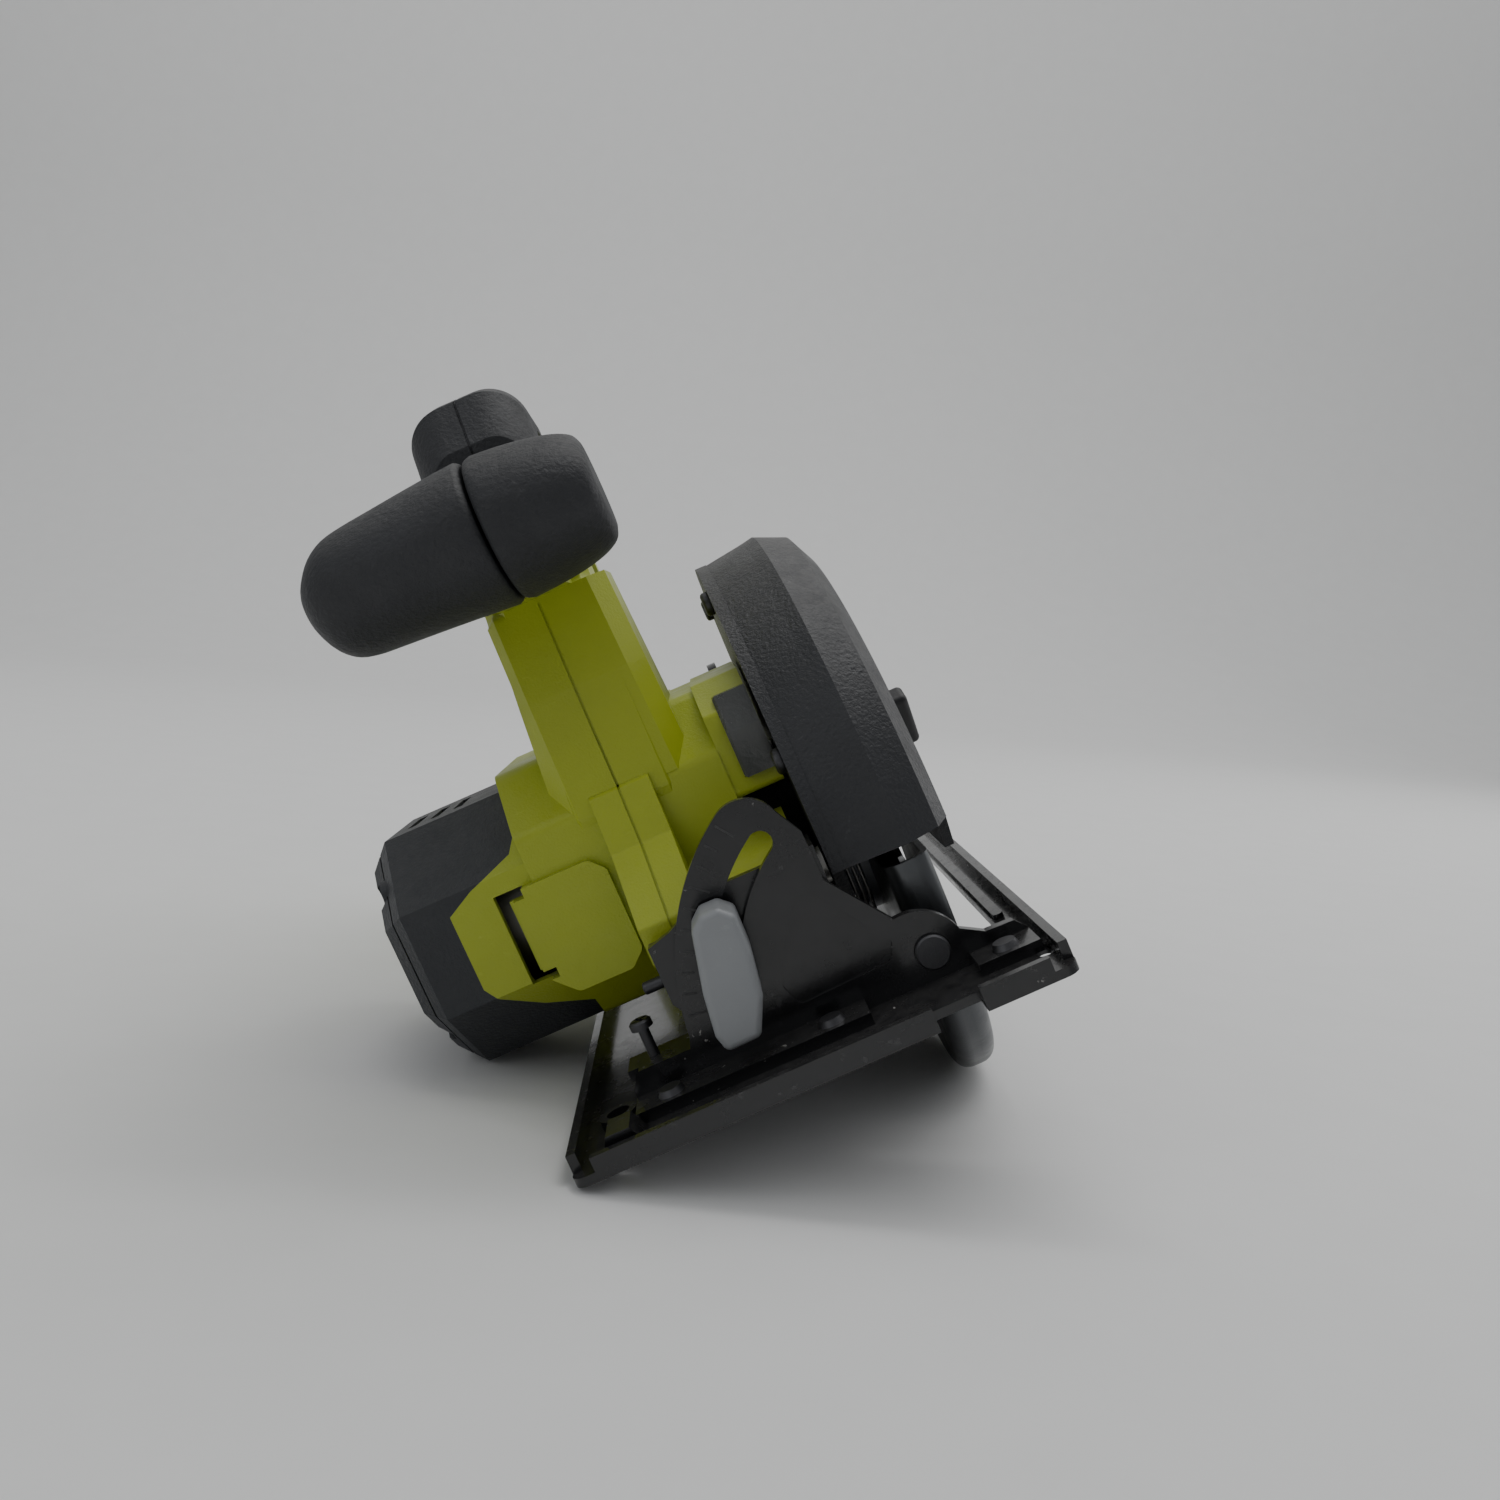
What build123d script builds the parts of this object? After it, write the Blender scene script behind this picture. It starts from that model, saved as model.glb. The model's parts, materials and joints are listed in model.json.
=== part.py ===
"""Compact cordless circular saw, blade on the right, lying on its side the way it is set down.

Everything is drawn in the tool's own frame: X to the blade side, Y from front to rear, Z up from the
sole, with the origin at the base's front left corner on the sole.  The last section turns the saw onto
the surface it lies on, so that the exported parts stand on Z = 0.
"""
from build123d import *
import os
from math import asin, atan2, cos, degrees, hypot, radians, sin

# ---------------------------------------------------------------- driving dimensions, millimetres
BASE_WIDTH = 106.8
BASE_LENGTH = 226.0
SHEET = 2.0                      # base steel
RAIL_HEIGHT = 5.8
SLOT_LEFT, SLOT_RIGHT = 68.0, 99.5
SLOT_FRONT, SLOT_REAR = 35.0, 196.0

BLADE_RADIUS = 70.0
BLADE_LEFT, BLADE_BODY = 85.0, 1.2
BLADE_TEETH = 18
ARBOR = (106.0, 27.0)            # spindle axis, (y, z)
MOTOR = (86.0, 42.5)             # motor axis, (y, z)
PINION_TEETH, GEAR_TEETH = 9, 40

BEVEL_AXIS = (83.1, 8.0)         # (x, z)
CLAMP_RADIUS, CLAMP_ANGLE = 43.0, 10.0
CLAMP_SLOT = 5.4
BEVEL_RANGE = 45.0
QUADRANT_RADIUS = 54.0
QUADRANT_FRONT, PLATE = 24.0, 2.5
CARRIAGE_FRONT = 26.8
REAR_PLATE = 200.2

DEPTH_AXIS = (40.0, 31.0)        # (y, z)
DEPTH_RADIUS, DEPTH_ANGLE, DEPTH_RANGE = 105.0, -10.0, 30.0
DEPTH_PLATE_LEFT = 63.0
DEPTH_SLOT = 6.2

GUARD_RADIUS = 77.0
GUARD_LEFT, GUARD_RIGHT = 73.5, 98.5
GUARD_WALL = 2.2
LOWER_RADIUS, LOWER_LEFT, LOWER_RIGHT = 73.0, 81.0, 91.5
LOWER_WALL, LOWER_CORNER = 1.4, 4.0
HUB_RADIUS = 21.0

SEAM = 34.5                      # clamshell parting plane
HANDLE_LEFT, HANDLE_RIGHT = 21.2, 47.4
BODY_LEFT, BODY_RIGHT = 8.0, 58.0
CAP_LEFT = -29.0
WALL = 2.6
DOCK_LEFT, DOCK_RIGHT = 6.0, 58.0
RUNNING = 0.06                   # radial clearance of running fits
AIR = 0.3                        # gap between bodies that slide past each other

pieces = {}


def across(x):
    """Sketch plane square to X: sketch axes are (y, z), and extrusion runs to the blade side."""
    return Plane.YZ.offset(x)


def facing(y):
    """Sketch plane square to Y, seen from the front: sketch axes are (x, z); extrusion runs forward."""
    return Plane.XZ.offset(-y)


def slab(points, x_from, x_to, corner=0.0, inset=0.0, mode=Mode.ADD):
    """A block with a rounded side outline, between two planes across the tool."""
    with BuildSketch(across(x_from)) as profile:
        Polygon(*points)
        if corner:
            fillet(profile.vertices(), corner)
        if inset:
            offset(amount=-inset, mode=Mode.REPLACE)
    extrude(profile.sketch, amount=x_to - x_from, mode=mode)


def disc(x_from, x_to, radius, centre=ARBOR, mode=Mode.ADD):
    """A round boss or bore along X."""
    with BuildSketch(across(x_from)) as profile:
        with Locations(centre):
            Circle(radius)
    extrude(profile.sketch, amount=x_to - x_from, mode=mode)


def ring(x_from, x_to, outer, inner, centre=ARBOR):
    """A washer, tube or bearing ring along X."""
    with BuildSketch(across(x_from)) as profile:
        with Locations(centre):
            Circle(outer)
            Circle(inner, mode=Mode.SUBTRACT)
    extrude(profile.sketch, amount=x_to - x_from)


def around(centre, radius, angle):
    """The point at an angle and radius round a centre, in sketch axes."""
    return (centre[0] + radius * cos(radians(angle)), centre[1] + radius * sin(radians(angle)))


def curved_slot(centre, radius, width, start, end, mode=Mode.ADD):
    """Outline of a slot with round ends along an arc, concentric with its centre."""
    line = Edge.make_circle(radius, Plane((*centre, 0)), start, end)
    SlotArc(line, width, mode=mode)


# ================================================================ base
NOTCH_CENTRE, NOTCH_WIDTH = 82.0, 10.0
GUIDE_X, GUIDE_Y = 11.3, 8.0
BURR = (9.6, 21.5)
BURR_BORE = 2.5
STOP_SCREW = (20.0, 31.0)
RIVET_SHANK = 1.6
FOOT_RIVETS = [(22.0, 18.5), (58.0, 18.5), (97.0, 18.5)]
REAR_RIVETS = [(73.0, 211.0), (93.0, 211.0)]
LIP = 5.0

with BuildPart() as base_plate:
    with BuildSketch():
        with Locations((BASE_WIDTH / 2, BASE_LENGTH / 2)):
            RectangleRounded(BASE_WIDTH, BASE_LENGTH, 3)
        with Locations(((SLOT_LEFT + SLOT_RIGHT) / 2, (SLOT_FRONT + SLOT_REAR) / 2)):
            RectangleRounded(SLOT_RIGHT - SLOT_LEFT, SLOT_REAR - SLOT_FRONT, 5, mode=Mode.SUBTRACT)
        with Locations((NOTCH_CENTRE, 3.5)):
            Rectangle(NOTCH_WIDTH, 7, mode=Mode.SUBTRACT)
        with Locations(*FOOT_RIVETS, *REAR_RIVETS):
            Circle(RIVET_SHANK, mode=Mode.SUBTRACT)
        with Locations((103.2, 14.0), (103.2, BASE_LENGTH - 12)):
            SlotOverall(7, 3.2, rotation=90, mode=Mode.SUBTRACT)
        with Locations((GUIDE_X, GUIDE_Y), (GUIDE_X, BASE_LENGTH - GUIDE_Y)):
            RectangleRounded(6, 10, 1, mode=Mode.SUBTRACT)
    extrude(amount=SHEET)
    with Locations((SHEET / 2, BASE_LENGTH / 2), (BASE_WIDTH - SHEET / 2, BASE_LENGTH / 2)):
        Box(SHEET, BASE_LENGTH - 8, RAIL_HEIGHT, align=(Align.CENTER, Align.CENTER, Align.MIN))
    for y in (SHEET / 2, BASE_LENGTH - SHEET / 2):
        with Locations((BASE_WIDTH / 2, y)):
            Box(BASE_WIDTH - 10, SHEET, LIP, align=(Align.CENTER, Align.CENTER, Align.MIN))
    with Locations((NOTCH_CENTRE, 0)):
        Box(NOTCH_WIDTH, 8, LIP, align=(Align.CENTER, Align.CENTER, Align.MIN), mode=Mode.SUBTRACT)
    # pressed stiffening beads beside the slot and down the left side
    for x, width, height in ((101.4, 2.4, 1.2), (26.0, 7.0, 1.0)):
        with BuildSketch(Plane.XY.offset(SHEET)):
            with Locations((x, (SLOT_FRONT + SLOT_REAR) / 2 + 5)):
                SlotOverall(150, width, rotation=90)
        extrude(amount=height)
    # raised bridges that an edge guide bar slides through
    for y in (GUIDE_Y, BASE_LENGTH - GUIDE_Y):
        with BuildSketch(facing(y + 4.5)):
            with Locations((GUIDE_X, 0)):
                Trapezoid(11, 6.4, 65, align=(Align.CENTER, Align.MIN))
        extrude(amount=9)
        with Locations((GUIDE_X, y, 0)):
            Box(6.0, 12, 4.4, align=(Align.CENTER, Align.CENTER, Align.MIN), mode=Mode.SUBTRACT)
    # threaded burr for the edge guide's thumb screw
    with BuildSketch(Plane.XY.offset(SHEET)):
        with Locations(BURR):
            Circle(4.2)
    extrude(amount=2.2)
    with Locations((*BURR, SHEET + 2.2)):
        Hole(BURR_BORE)
pieces["base_plate"] = base_plate

with BuildPart() as bevel_quadrant:
    with BuildSketch(facing(QUADRANT_FRONT + PLATE)):
        with BuildLine():
            outer = ThreePointArc(
                around(BEVEL_AXIS, QUADRANT_RADIUS, 175.5),
                around(BEVEL_AXIS, QUADRANT_RADIUS, 150.0),
                around(BEVEL_AXIS, QUADRANT_RADIUS, 124.0),
            )
            ThreePointArc(outer @ 1, (59.6, 53.6), (64.6, 48.4))
            Polyline((64.6, 48.4), (67.9, 42.5), (68.1, 31.2), (78.2, 17.6))
            ThreePointArc((78.2, 17.6), (86.4, 15.6), (90.2, 10.2))
            Polyline((90.2, 10.2), (95.0, 7.4), (101.3, 7.2), (103.6, 4.6), (103.6, SHEET), (14.0, SHEET),
                     (14.0, 6.2), (16.5, 9.6), (28.4, 9.6), outer @ 0)
        make_face()
        curved_slot(BEVEL_AXIS, CLAMP_RADIUS, CLAMP_SLOT, 179 - CLAMP_ANGLE - BEVEL_RANGE, 181 - CLAMP_ANGLE,
                    mode=Mode.SUBTRACT)
    extrude(amount=PLATE)
    # pressed panel
    with BuildSketch(facing(QUADRANT_FRONT)) as panel:
        Polygon((61.5, 30.6), (64.6, 30.4), (76.2, 13.6), (74.6, 9.6), (53.2, 8.8), (51.4, 13.8), (53.4, 20.0))
        fillet(panel.vertices(), 1.6)
    extrude(amount=-0.8, mode=Mode.SUBTRACT)
    # foot turned forward, riveted to the base
    for left, right in ((14.0, 66.0), (90.0, 103.6)):
        with Locations(((left + right) / 2, QUADRANT_FRONT - 5, SHEET)):
            Box(right - left, 10, PLATE, align=(Align.CENTER, Align.CENTER, Align.MIN))
    with Locations(*[(x, y, SHEET + PLATE) for x, y in FOOT_RIVETS]):
        Hole(RIVET_SHANK)
    # shelf behind the plate for the bevel stop screw
    with Locations((21.2, QUADRANT_FRONT + PLATE + 4.5, 7.2)):
        Box(14.4, 9, 2.4, align=(Align.CENTER, Align.CENTER, Align.MIN))
    with Locations((*STOP_SCREW, 9.6)):
        Hole(1.2, depth=2.4)
    with Locations(Location((BEVEL_AXIS[0], QUADRANT_FRONT, BEVEL_AXIS[1]), (90, 0, 0))):
        Hole(2.5)
pieces["bevel_quadrant"] = bevel_quadrant

with BuildPart() as rear_bevel_bracket:
    rear_face = REAR_PLATE + 2 * PLATE + AIR
    with BuildSketch(facing(rear_face)) as plate:
        Polygon((68, SHEET), (98, SHEET), (98, 5), (91, 12), (88, 15.5), (78, 15.5), (75, 12), (68, 5))
        fillet(plate.vertices().group_by(Axis.Y)[-1], 1.5)
        with Locations(BEVEL_AXIS):
            Circle(2.5, mode=Mode.SUBTRACT)
    extrude(amount=PLATE)
    with Locations((83.0, rear_face + 4.5, SHEET)):
        Box(30, 9, PLATE, align=(Align.CENTER, Align.CENTER, Align.MIN))
    with Locations(*[(x, y, SHEET + PLATE) for x, y in REAR_RIVETS]):
        Hole(RIVET_SHANK)
pieces["rear_bevel_bracket"] = rear_bevel_bracket

with BuildPart() as bracket_rivets:
    for x, y in FOOT_RIVETS + REAR_RIVETS:
        with BuildSketch(Plane.XY):
            with Locations((x, y)):
                Circle(RIVET_SHANK)
        extrude(amount=SHEET + PLATE)
        with BuildSketch(Plane.XY.offset(SHEET + PLATE)):
            with Locations((x, y)):
                Circle(3.0)
        extrude(amount=1.3, taper=25)
pieces["bracket_rivets"] = bracket_rivets

with BuildPart() as bevel_stop_screw:
    with BuildSketch(Plane.XY.offset(4.0)):
        with Locations(STOP_SCREW):
            Circle(1.2)
    extrude(amount=12)
    with BuildSketch(Plane.XY.offset(16.0)):
        with Locations(STOP_SCREW):
            Circle(2.5)
    extrude(amount=1.9)
    chamfer(bevel_stop_screw.faces().sort_by(Axis.Z)[-1].edges(), 0.5)
    with Locations((*STOP_SCREW, 17.9)):
        Box(3.6, 0.7, 1.6, rotation=(0, 0, 30), mode=Mode.SUBTRACT)
        Box(3.6, 0.7, 1.6, rotation=(0, 0, 120), mode=Mode.SUBTRACT)
pieces["bevel_stop_screw"] = bevel_stop_screw


def pivot_pin(y_from, y_to, shank=2.5, head=3.8, dome=1.4):
    """A riveted pin along Y on the bevel axis, with a head at both ends."""
    with BuildPart() as pin:
        with BuildSketch(facing(y_to)):
            with Locations(BEVEL_AXIS):
                Circle(shank)
        extrude(amount=y_to - y_from)
        for face, way in ((y_from, 1), (y_to, -1)):
            with BuildSketch(facing(face)):
                with Locations(BEVEL_AXIS):
                    Circle(head)
            extrude(amount=way * dome)
        chamfer(pin.faces().filter_by(Axis.Y).sort_by(Axis.Y)[0].edges(), 0.4)
    return pin


carriage_rear = CARRIAGE_FRONT + PLATE
pieces["front_bevel_pin"] = pivot_pin(QUADRANT_FRONT, carriage_rear + AIR)
pieces["rear_bevel_pin"] = pivot_pin(REAR_PLATE - AIR, rear_face, head=3.4)

# ================================================================ tilting carriage
CLAMP_BOLT = around(BEVEL_AXIS, CLAMP_RADIUS, 180 - CLAMP_ANGLE)
EAR_LEFT, EAR_RIGHT = 44.0, 66.5
EAR_REACH = 7.5
STUD = (31.6, 23.4)              # (y, z)

with BuildPart() as front_carriage:
    with BuildSketch(facing(carriage_rear)) as plate:
        Polygon((28.5, 19.0), (28.5, 32.0), (34.0, 33.5), (44.0, 38.5), (69.0, 38.5), (69.0, 28.0), (80.0, 13.0),
                (88.0, 13.0), (88.7, 8.0), (86.0, 3.2), (80.0, 3.2), (76.0, 4.6), (33.0, 4.6), (33.0, 12.0))
        with Locations(CLAMP_BOLT):
            Circle(2.5, mode=Mode.SUBTRACT)
        with Locations(BEVEL_AXIS):
            Circle(2.5 + RUNNING, mode=Mode.SUBTRACT)
    extrude(amount=PLATE)
    # ears that carry the depth pivot
    for x in (EAR_LEFT, EAR_RIGHT):
        with BuildSketch(across(x)) as ear:
            with BuildLine():
                Polyline((carriage_rear, 23.5), (DEPTH_AXIS[0], 23.5))
                ThreePointArc((DEPTH_AXIS[0], 23.5), around(DEPTH_AXIS, EAR_REACH, 0), (DEPTH_AXIS[0], 38.5))
                Polyline((DEPTH_AXIS[0], 38.5), (carriage_rear, 38.5), (carriage_rear, 23.5))
            make_face()
            with Locations(DEPTH_AXIS):
                Circle(3.0, mode=Mode.SUBTRACT)
        extrude(amount=PLATE)
    # small turned flange that carries the squareness screw
    with BuildSketch(across(28.5)):
        Polygon((carriage_rear, 19.0), (33.5, 19.0), (33.5, 28.0), (31.5, 32.0), (carriage_rear, 32.0))
        with Locations(STUD):
            Circle(1.4, mode=Mode.SUBTRACT)
    extrude(amount=PLATE)
pieces["front_carriage"] = front_carriage

with BuildPart() as carriage_rail:
    with BuildSketch(Plane.XY.offset(4.6)):
        Polygon((46.0, carriage_rear), (57.0, carriage_rear), (57.0, 152.0), (61.0, 156.0), (61.0, REAR_PLATE),
                (51.0, REAR_PLATE), (51.0, 48.0))
    extrude(amount=PLATE)
    with BuildSketch(facing(carriage_rear + 4)):
        with Locations((51.5, 4.6)):
            Rectangle(11, 6, align=(Align.CENTER, Align.MIN))
    extrude(amount=4)
pieces["carriage_rail"] = carriage_rail

with BuildPart() as rear_depth_bracket:
    slot_start, slot_end = DEPTH_ANGLE - 1, DEPTH_ANGLE + DEPTH_RANGE + 1
    with BuildSketch(across(DEPTH_PLATE_LEFT)):
        curved_slot(DEPTH_AXIS, DEPTH_RADIUS, 16.0, slot_start, slot_end)
        Polygon((128.0, 4.6), (198.0, 4.6), (198.0, 10.0), (160.0, 14.0), (151.0, 20.0), (137.0, 18.0))
        curved_slot(DEPTH_AXIS, DEPTH_RADIUS, DEPTH_SLOT, slot_start, slot_end, mode=Mode.SUBTRACT)
    extrude(amount=PLATE)
    with Locations((61.0, 146.0, 4.6)):
        Box(DEPTH_PLATE_LEFT - 61.0 + PLATE, REAR_PLATE - 146.0, PLATE, align=Align.MIN)
    # upright that carries the rear bevel pin
    with BuildSketch(facing(REAR_PLATE + PLATE)) as upright:
        Polygon((55.0, 4.6), (76.0, 4.6), (80.0, 3.2), (86.0, 3.2), (88.7, 8.0), (88.0, 13.0), (80.0, 14.0),
                (55.0, 14.0))
        with Locations(BEVEL_AXIS):
            Circle(2.5 + RUNNING, mode=Mode.SUBTRACT)
    extrude(amount=PLATE)
pieces["rear_depth_bracket"] = rear_depth_bracket

with BuildPart() as depth_pivot_pin:
    pin_left, pin_right = EAR_LEFT, EAR_RIGHT + PLATE
    disc(pin_left, pin_right, 3.0, DEPTH_AXIS)
    disc(pin_left, pin_left - 1.6, 4.6, DEPTH_AXIS)
    disc(pin_right, pin_right + 1.1, 4.2, DEPTH_AXIS)
pieces["depth_pivot_pin"] = depth_pivot_pin

LEVER_BACK, LEVER_FRONT = 22.6, 12.0
with BuildPart() as bevel_clamp_bolt:
    with BuildSketch(facing(carriage_rear)):
        with Locations(CLAMP_BOLT):
            Circle(2.5)
    extrude(amount=carriage_rear - LEVER_FRONT - 4.0)
    with BuildSketch(facing(carriage_rear + 3)):
        with Locations(CLAMP_BOLT):
            RegularPolygon(4.4, 6)
    extrude(amount=3)
pieces["bevel_clamp_bolt"] = bevel_clamp_bolt

with BuildPart() as squareness_screw:
    disc(23.6, 36.0, 1.4, STUD)
    chamfer(squareness_screw.edges().filter_by(GeomType.CIRCLE), 0.3)
pieces["squareness_screw"] = squareness_screw

# ================================================================ bevel clamp lever
with BuildPart() as bevel_lock_lever:
    with BuildSketch(facing(LEVER_BACK)) as arm:
        Polygon((36.4, 9.2), (44.0, 9.4), (47.6, 17.0), (49.0, 26.0), (49.2, 34.6), (46.4, 37.2), (42.4, 37.2),
                (39.6, 34.8), (36.6, 22.0), (35.4, 13.0))
        fillet(arm.vertices(), 1.8)
    extrude(amount=LEVER_BACK - LEVER_FRONT)
    fillet(bevel_lock_lever.faces().sort_by(Axis.Y)[0].edges(), 1.6)
    with BuildSketch(facing(LEVER_BACK)):
        with Locations(CLAMP_BOLT):
            Circle(2.5 + RUNNING)
    extrude(amount=LEVER_BACK - LEVER_FRONT - 3.0, mode=Mode.SUBTRACT)
pieces["bevel_lock_lever"] = bevel_lock_lever

with BuildPart() as bevel_lever_washer:
    with BuildSketch(facing(QUADRANT_FRONT - 0.1)):
        with Locations(CLAMP_BOLT):
            Circle(5.2)
            Circle(2.5 + RUNNING, mode=Mode.SUBTRACT)
    extrude(amount=QUADRANT_FRONT - 0.1 - LEVER_BACK - 0.1)
pieces["bevel_lever_washer"] = bevel_lever_washer

# ================================================================ housing
BODY = [(50.6, 30), (50.6, 62), (62, 76), (106, 76), (120, 62), (120, 27), (106, 13.2), (66, 13.2)]
CAP = [(52, 30), (52, 56), (68, 72), (102, 72), (117, 57), (117, 29), (102, 13.2), (69, 13.2)]
FRAME = [(50, 60), (53, 88), (57, 109.5), (62, 109.5), (62, 140), (67, 147.5), (74, 153), (84, 155.4),
         (102, 153.6), (152, 138.6), (204, 117.5), (224, 105), (232, 98), (232, 36), (224, 30),
         (178, 27), (112, 22), (60, 22)]
WINDOW = [(87, 80), (87, 122), (95, 131.5), (176, 108), (184, 100), (178, 90), (174, 50), (128, 50),
          (124, 66), (110, 80)]
DOCK = [(178, 16), (178, 62), (184, 68), (240, 68), (240, 16)]
SOCKET = [(200, 19), (200, 63), (246, 63), (246, 19)]
NECK_FRONT = [(50.4, 60), (53, 88), (57, 109.5), (88, 109.5), (88, 60)]
NECK_WIDTH = [(18.4, 62), (22.2, 109.5), (50.8, 109.5), (52.6, 62)]    # (x, z)
TAPER_START, TAPER_END, TAPER = 95.0, 245.0, 6.4
GROOVE, GROOVE_DEPTH = 0.3, 0.45
NOSE_BOSS = [(33.5, 26), (33.5, 35), (37.5, 40), (45.6, 50.5), (49.6, 64), (60, 64), (60, 22), (44, 22)]
PIVOT_BOSS = [(34.5, 25), (34.5, 37), (60, 44), (60, 20), (46, 23)]
CHEEK = [(51, 50), (51, 70), (62, 77), (98, 77), (98, 62), (86, 58.5), (70, 56), (66, 50)]
LENS = [(49.0, 54.0), (47.6, 65.0), (52.4, 73.4), (56.0, 73.4), (56.0, 54.0)]
TONGUE = [(BODY_LEFT, 64), (5, 59), (-6, 55), (-12.6, 51.4), (-12.6, 33.0), (-10.4, 29.6), (-2.6, 23.0),
          (BODY_LEFT, 17.6)]
TONGUE_LEFT, TONGUE_REAR = -12.6, 84.0
HANDLE_SCREWS = [(70.0, 98.0), (76.0, 142.0), (162.0, 124.0), (200.0, 108.0), (150.0, 37.0)]
CAP_SCREWS = [(64.5, 60.6), (104.5, 60.6), (66.5, 25.4), (104.8, 24.0)]
STUB = [(44, 109.5), (44, 128), (62, 128), (62, 109.5)]
STUB_LEFT, STUB_RIGHT = 26.0, 43.0
SLOPE = 16.2                     # fall of the handle's underside towards the rear
TRIGGER_LEFT, TRIGGER_RIGHT = 27.5, 42.5
TRIGGER = [(100.0, 138.4), (97.7, 130.5), (95.9, 122.5), (97.8, 114.5), (101.5, 113.2), (104.5, 119.5),
           (110.0, 122.0), (117.0, 120.5), (122.6, 121.4), (123.1, 123.1), (125.4, 130.9)]
TRIGGER_GATE = [(95.6, 124.7), (122.0, 117.1), (124.8, 126.8), (98.4, 134.4)]
LOCK_OFF = (114.0, 144.5)
LOCK_OFF_RADIUS = 3.8
SWITCH = (141.0, 130.0)
HANDLE_THREAD, HANDLE_POST, HANDLE_HEAD, HEAD_SINK = 1.5, 4.0, 3.0, 3.0
CAP_THREAD, CAP_HEAD, CAP_SINK = 1.6, 3.1, 5.0
GRIP_SKIN = [(60, 141), (60, 146.6), (67.6, 158.2), (80, 160.9), (102.6, 157.9), (152.8, 142.8),
             (205.0, 121.6), (200.0, 111.6), (150.0, 131.6), (103.0, 145.4), (84.0, 147.6), (72.0, 141)]
GRIP_CENTRE = (32.0, 124.1)
MOTOR_TUBE = 22.0


def loop_solid(x_to, inset=0.0, mode=Mode.ADD):
    """The handle loop, from the parting plane to a side plane, with its finger window open."""
    with BuildSketch(across(SEAM)) as window:
        Polygon(*WINDOW)
        fillet(window.vertices(), 4)
        if inset:
            offset(amount=inset, mode=Mode.REPLACE)
    with BuildSketch(across(SEAM)) as loop:
        Polygon(*FRAME)
        fillet(loop.vertices(), 2.4)
        if inset:
            offset(amount=-inset, mode=Mode.REPLACE)
        add(window.sketch_local, mode=Mode.SUBTRACT)
    extrude(loop.sketch, amount=x_to - SEAM, mode=mode)


def taper_cut(side):
    """Takes the wedge off that narrows the blade side of the handle towards the rear."""
    with BuildSketch(Plane.XY.offset(70)) as wedge:
        Polygon((side, TAPER_START), (90, TAPER_START), (90, TAPER_END), (side - TAPER, TAPER_END))
    extrude(wedge.sketch, amount=120, mode=Mode.SUBTRACT)


def handle_side(y, z):
    """Where the blade side of the handle is at a point of its side view."""
    return HANDLE_RIGHT - (TAPER * max(0, y - TAPER_START) / (TAPER_END - TAPER_START) if z > 70 else 0)


def loop_half(side, inset=0.0):
    """Half of the handle loop, or of its cavity, with the outer edges broken."""
    way = 1 if side > SEAM else -1
    with BuildPart() as loop:
        loop_solid(side - way * inset, inset)
        if not inset:
            chamfer(loop.faces().sort_by(Axis.X)[-1 if way > 0 else 0].edges(), 2.2)
        if way > 0:
            taper_cut(side - inset)
    return loop


def neck(inset=0.0):
    """The column between the body and the front grip, wider at its foot, with bevelled corners."""
    with BuildPart() as column:
        with BuildSketch(facing(88 - inset)) as front:
            Polygon(*NECK_WIDTH)
            if inset:
                offset(amount=-inset, mode=Mode.REPLACE)
        extrude(front.sketch, amount=44)
        slab(NECK_FRONT, 0, 80, inset=inset, mode=Mode.INTERSECT)
        corners = column.edges().filter_by(lambda edge: edge.length > 10 and edge.center().Y < 60)
        chamfer(corners.filter_by(lambda edge: abs(edge.center().X - SEAM) > 8), 4.2)
    return column


neck_outer, neck_inner = neck(), neck(WALL)


def clamshell_half(handle_x, body_x, dock_x):
    """One housing half: walls, cavities, screw posts and the openings that both halves share."""
    way = 1 if handle_x > SEAM else -1
    inner = -way * WALL
    outside, cavity = loop_half(handle_x), loop_half(handle_x, WALL)
    with BuildPart() as column:
        add(neck_outer.part)
        add(neck_inner.part, mode=Mode.SUBTRACT)
        slab([(30, 40), (30, 130), (110, 130), (110, 40)], SEAM, SEAM + way * 40, mode=Mode.INTERSECT)
    with BuildPart() as half:
        add(outside.part)
        slab(BODY, SEAM, body_x, corner=4)
        slab(DOCK, SEAM, dock_x, corner=4)
        slab(NOSE_BOSS, SEAM, SEAM + way * 7.2, corner=1.5)
        add(cavity.part, mode=Mode.SUBTRACT)
        add(column.part)
        slab(BODY, SEAM, body_x + inner, corner=4, inset=WALL, mode=Mode.SUBTRACT)
        slab(DOCK, SEAM, dock_x + inner, corner=4, inset=WALL, mode=Mode.SUBTRACT)
        # the battery slides in from the rear
        slab(SOCKET, SEAM, dock_x + inner, mode=Mode.SUBTRACT)
        # stub that the front grip is pushed over
        slab(STUB, SEAM, STUB_RIGHT if way > 0 else STUB_LEFT)
        for post in HANDLE_SCREWS:
            end = handle_side(*post) if way > 0 else handle_x
            disc(SEAM, end, HANDLE_POST, post)
            disc(SEAM, end, HANDLE_THREAD, post, mode=Mode.SUBTRACT)
        slab(TRIGGER_GATE, SEAM, TRIGGER_RIGHT + 0.4 if way > 0 else TRIGGER_LEFT - 0.4, mode=Mode.SUBTRACT)
        disc(SEAM, handle_x, LOCK_OFF_RADIUS + 0.15, LOCK_OFF, mode=Mode.SUBTRACT)
        # the parting line shows as a fine groove
        for outline in (NECK_FRONT, FRAME, BODY, NOSE_BOSS):
            with BuildSketch(across(SEAM)) as band:
                Polygon(*outline)
                fillet(band.vertices(), 1.5)
                offset(amount=-GROOVE_DEPTH, mode=Mode.SUBTRACT)
            extrude(band.sketch, amount=way * GROOVE, mode=Mode.SUBTRACT)
    return half


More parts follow.
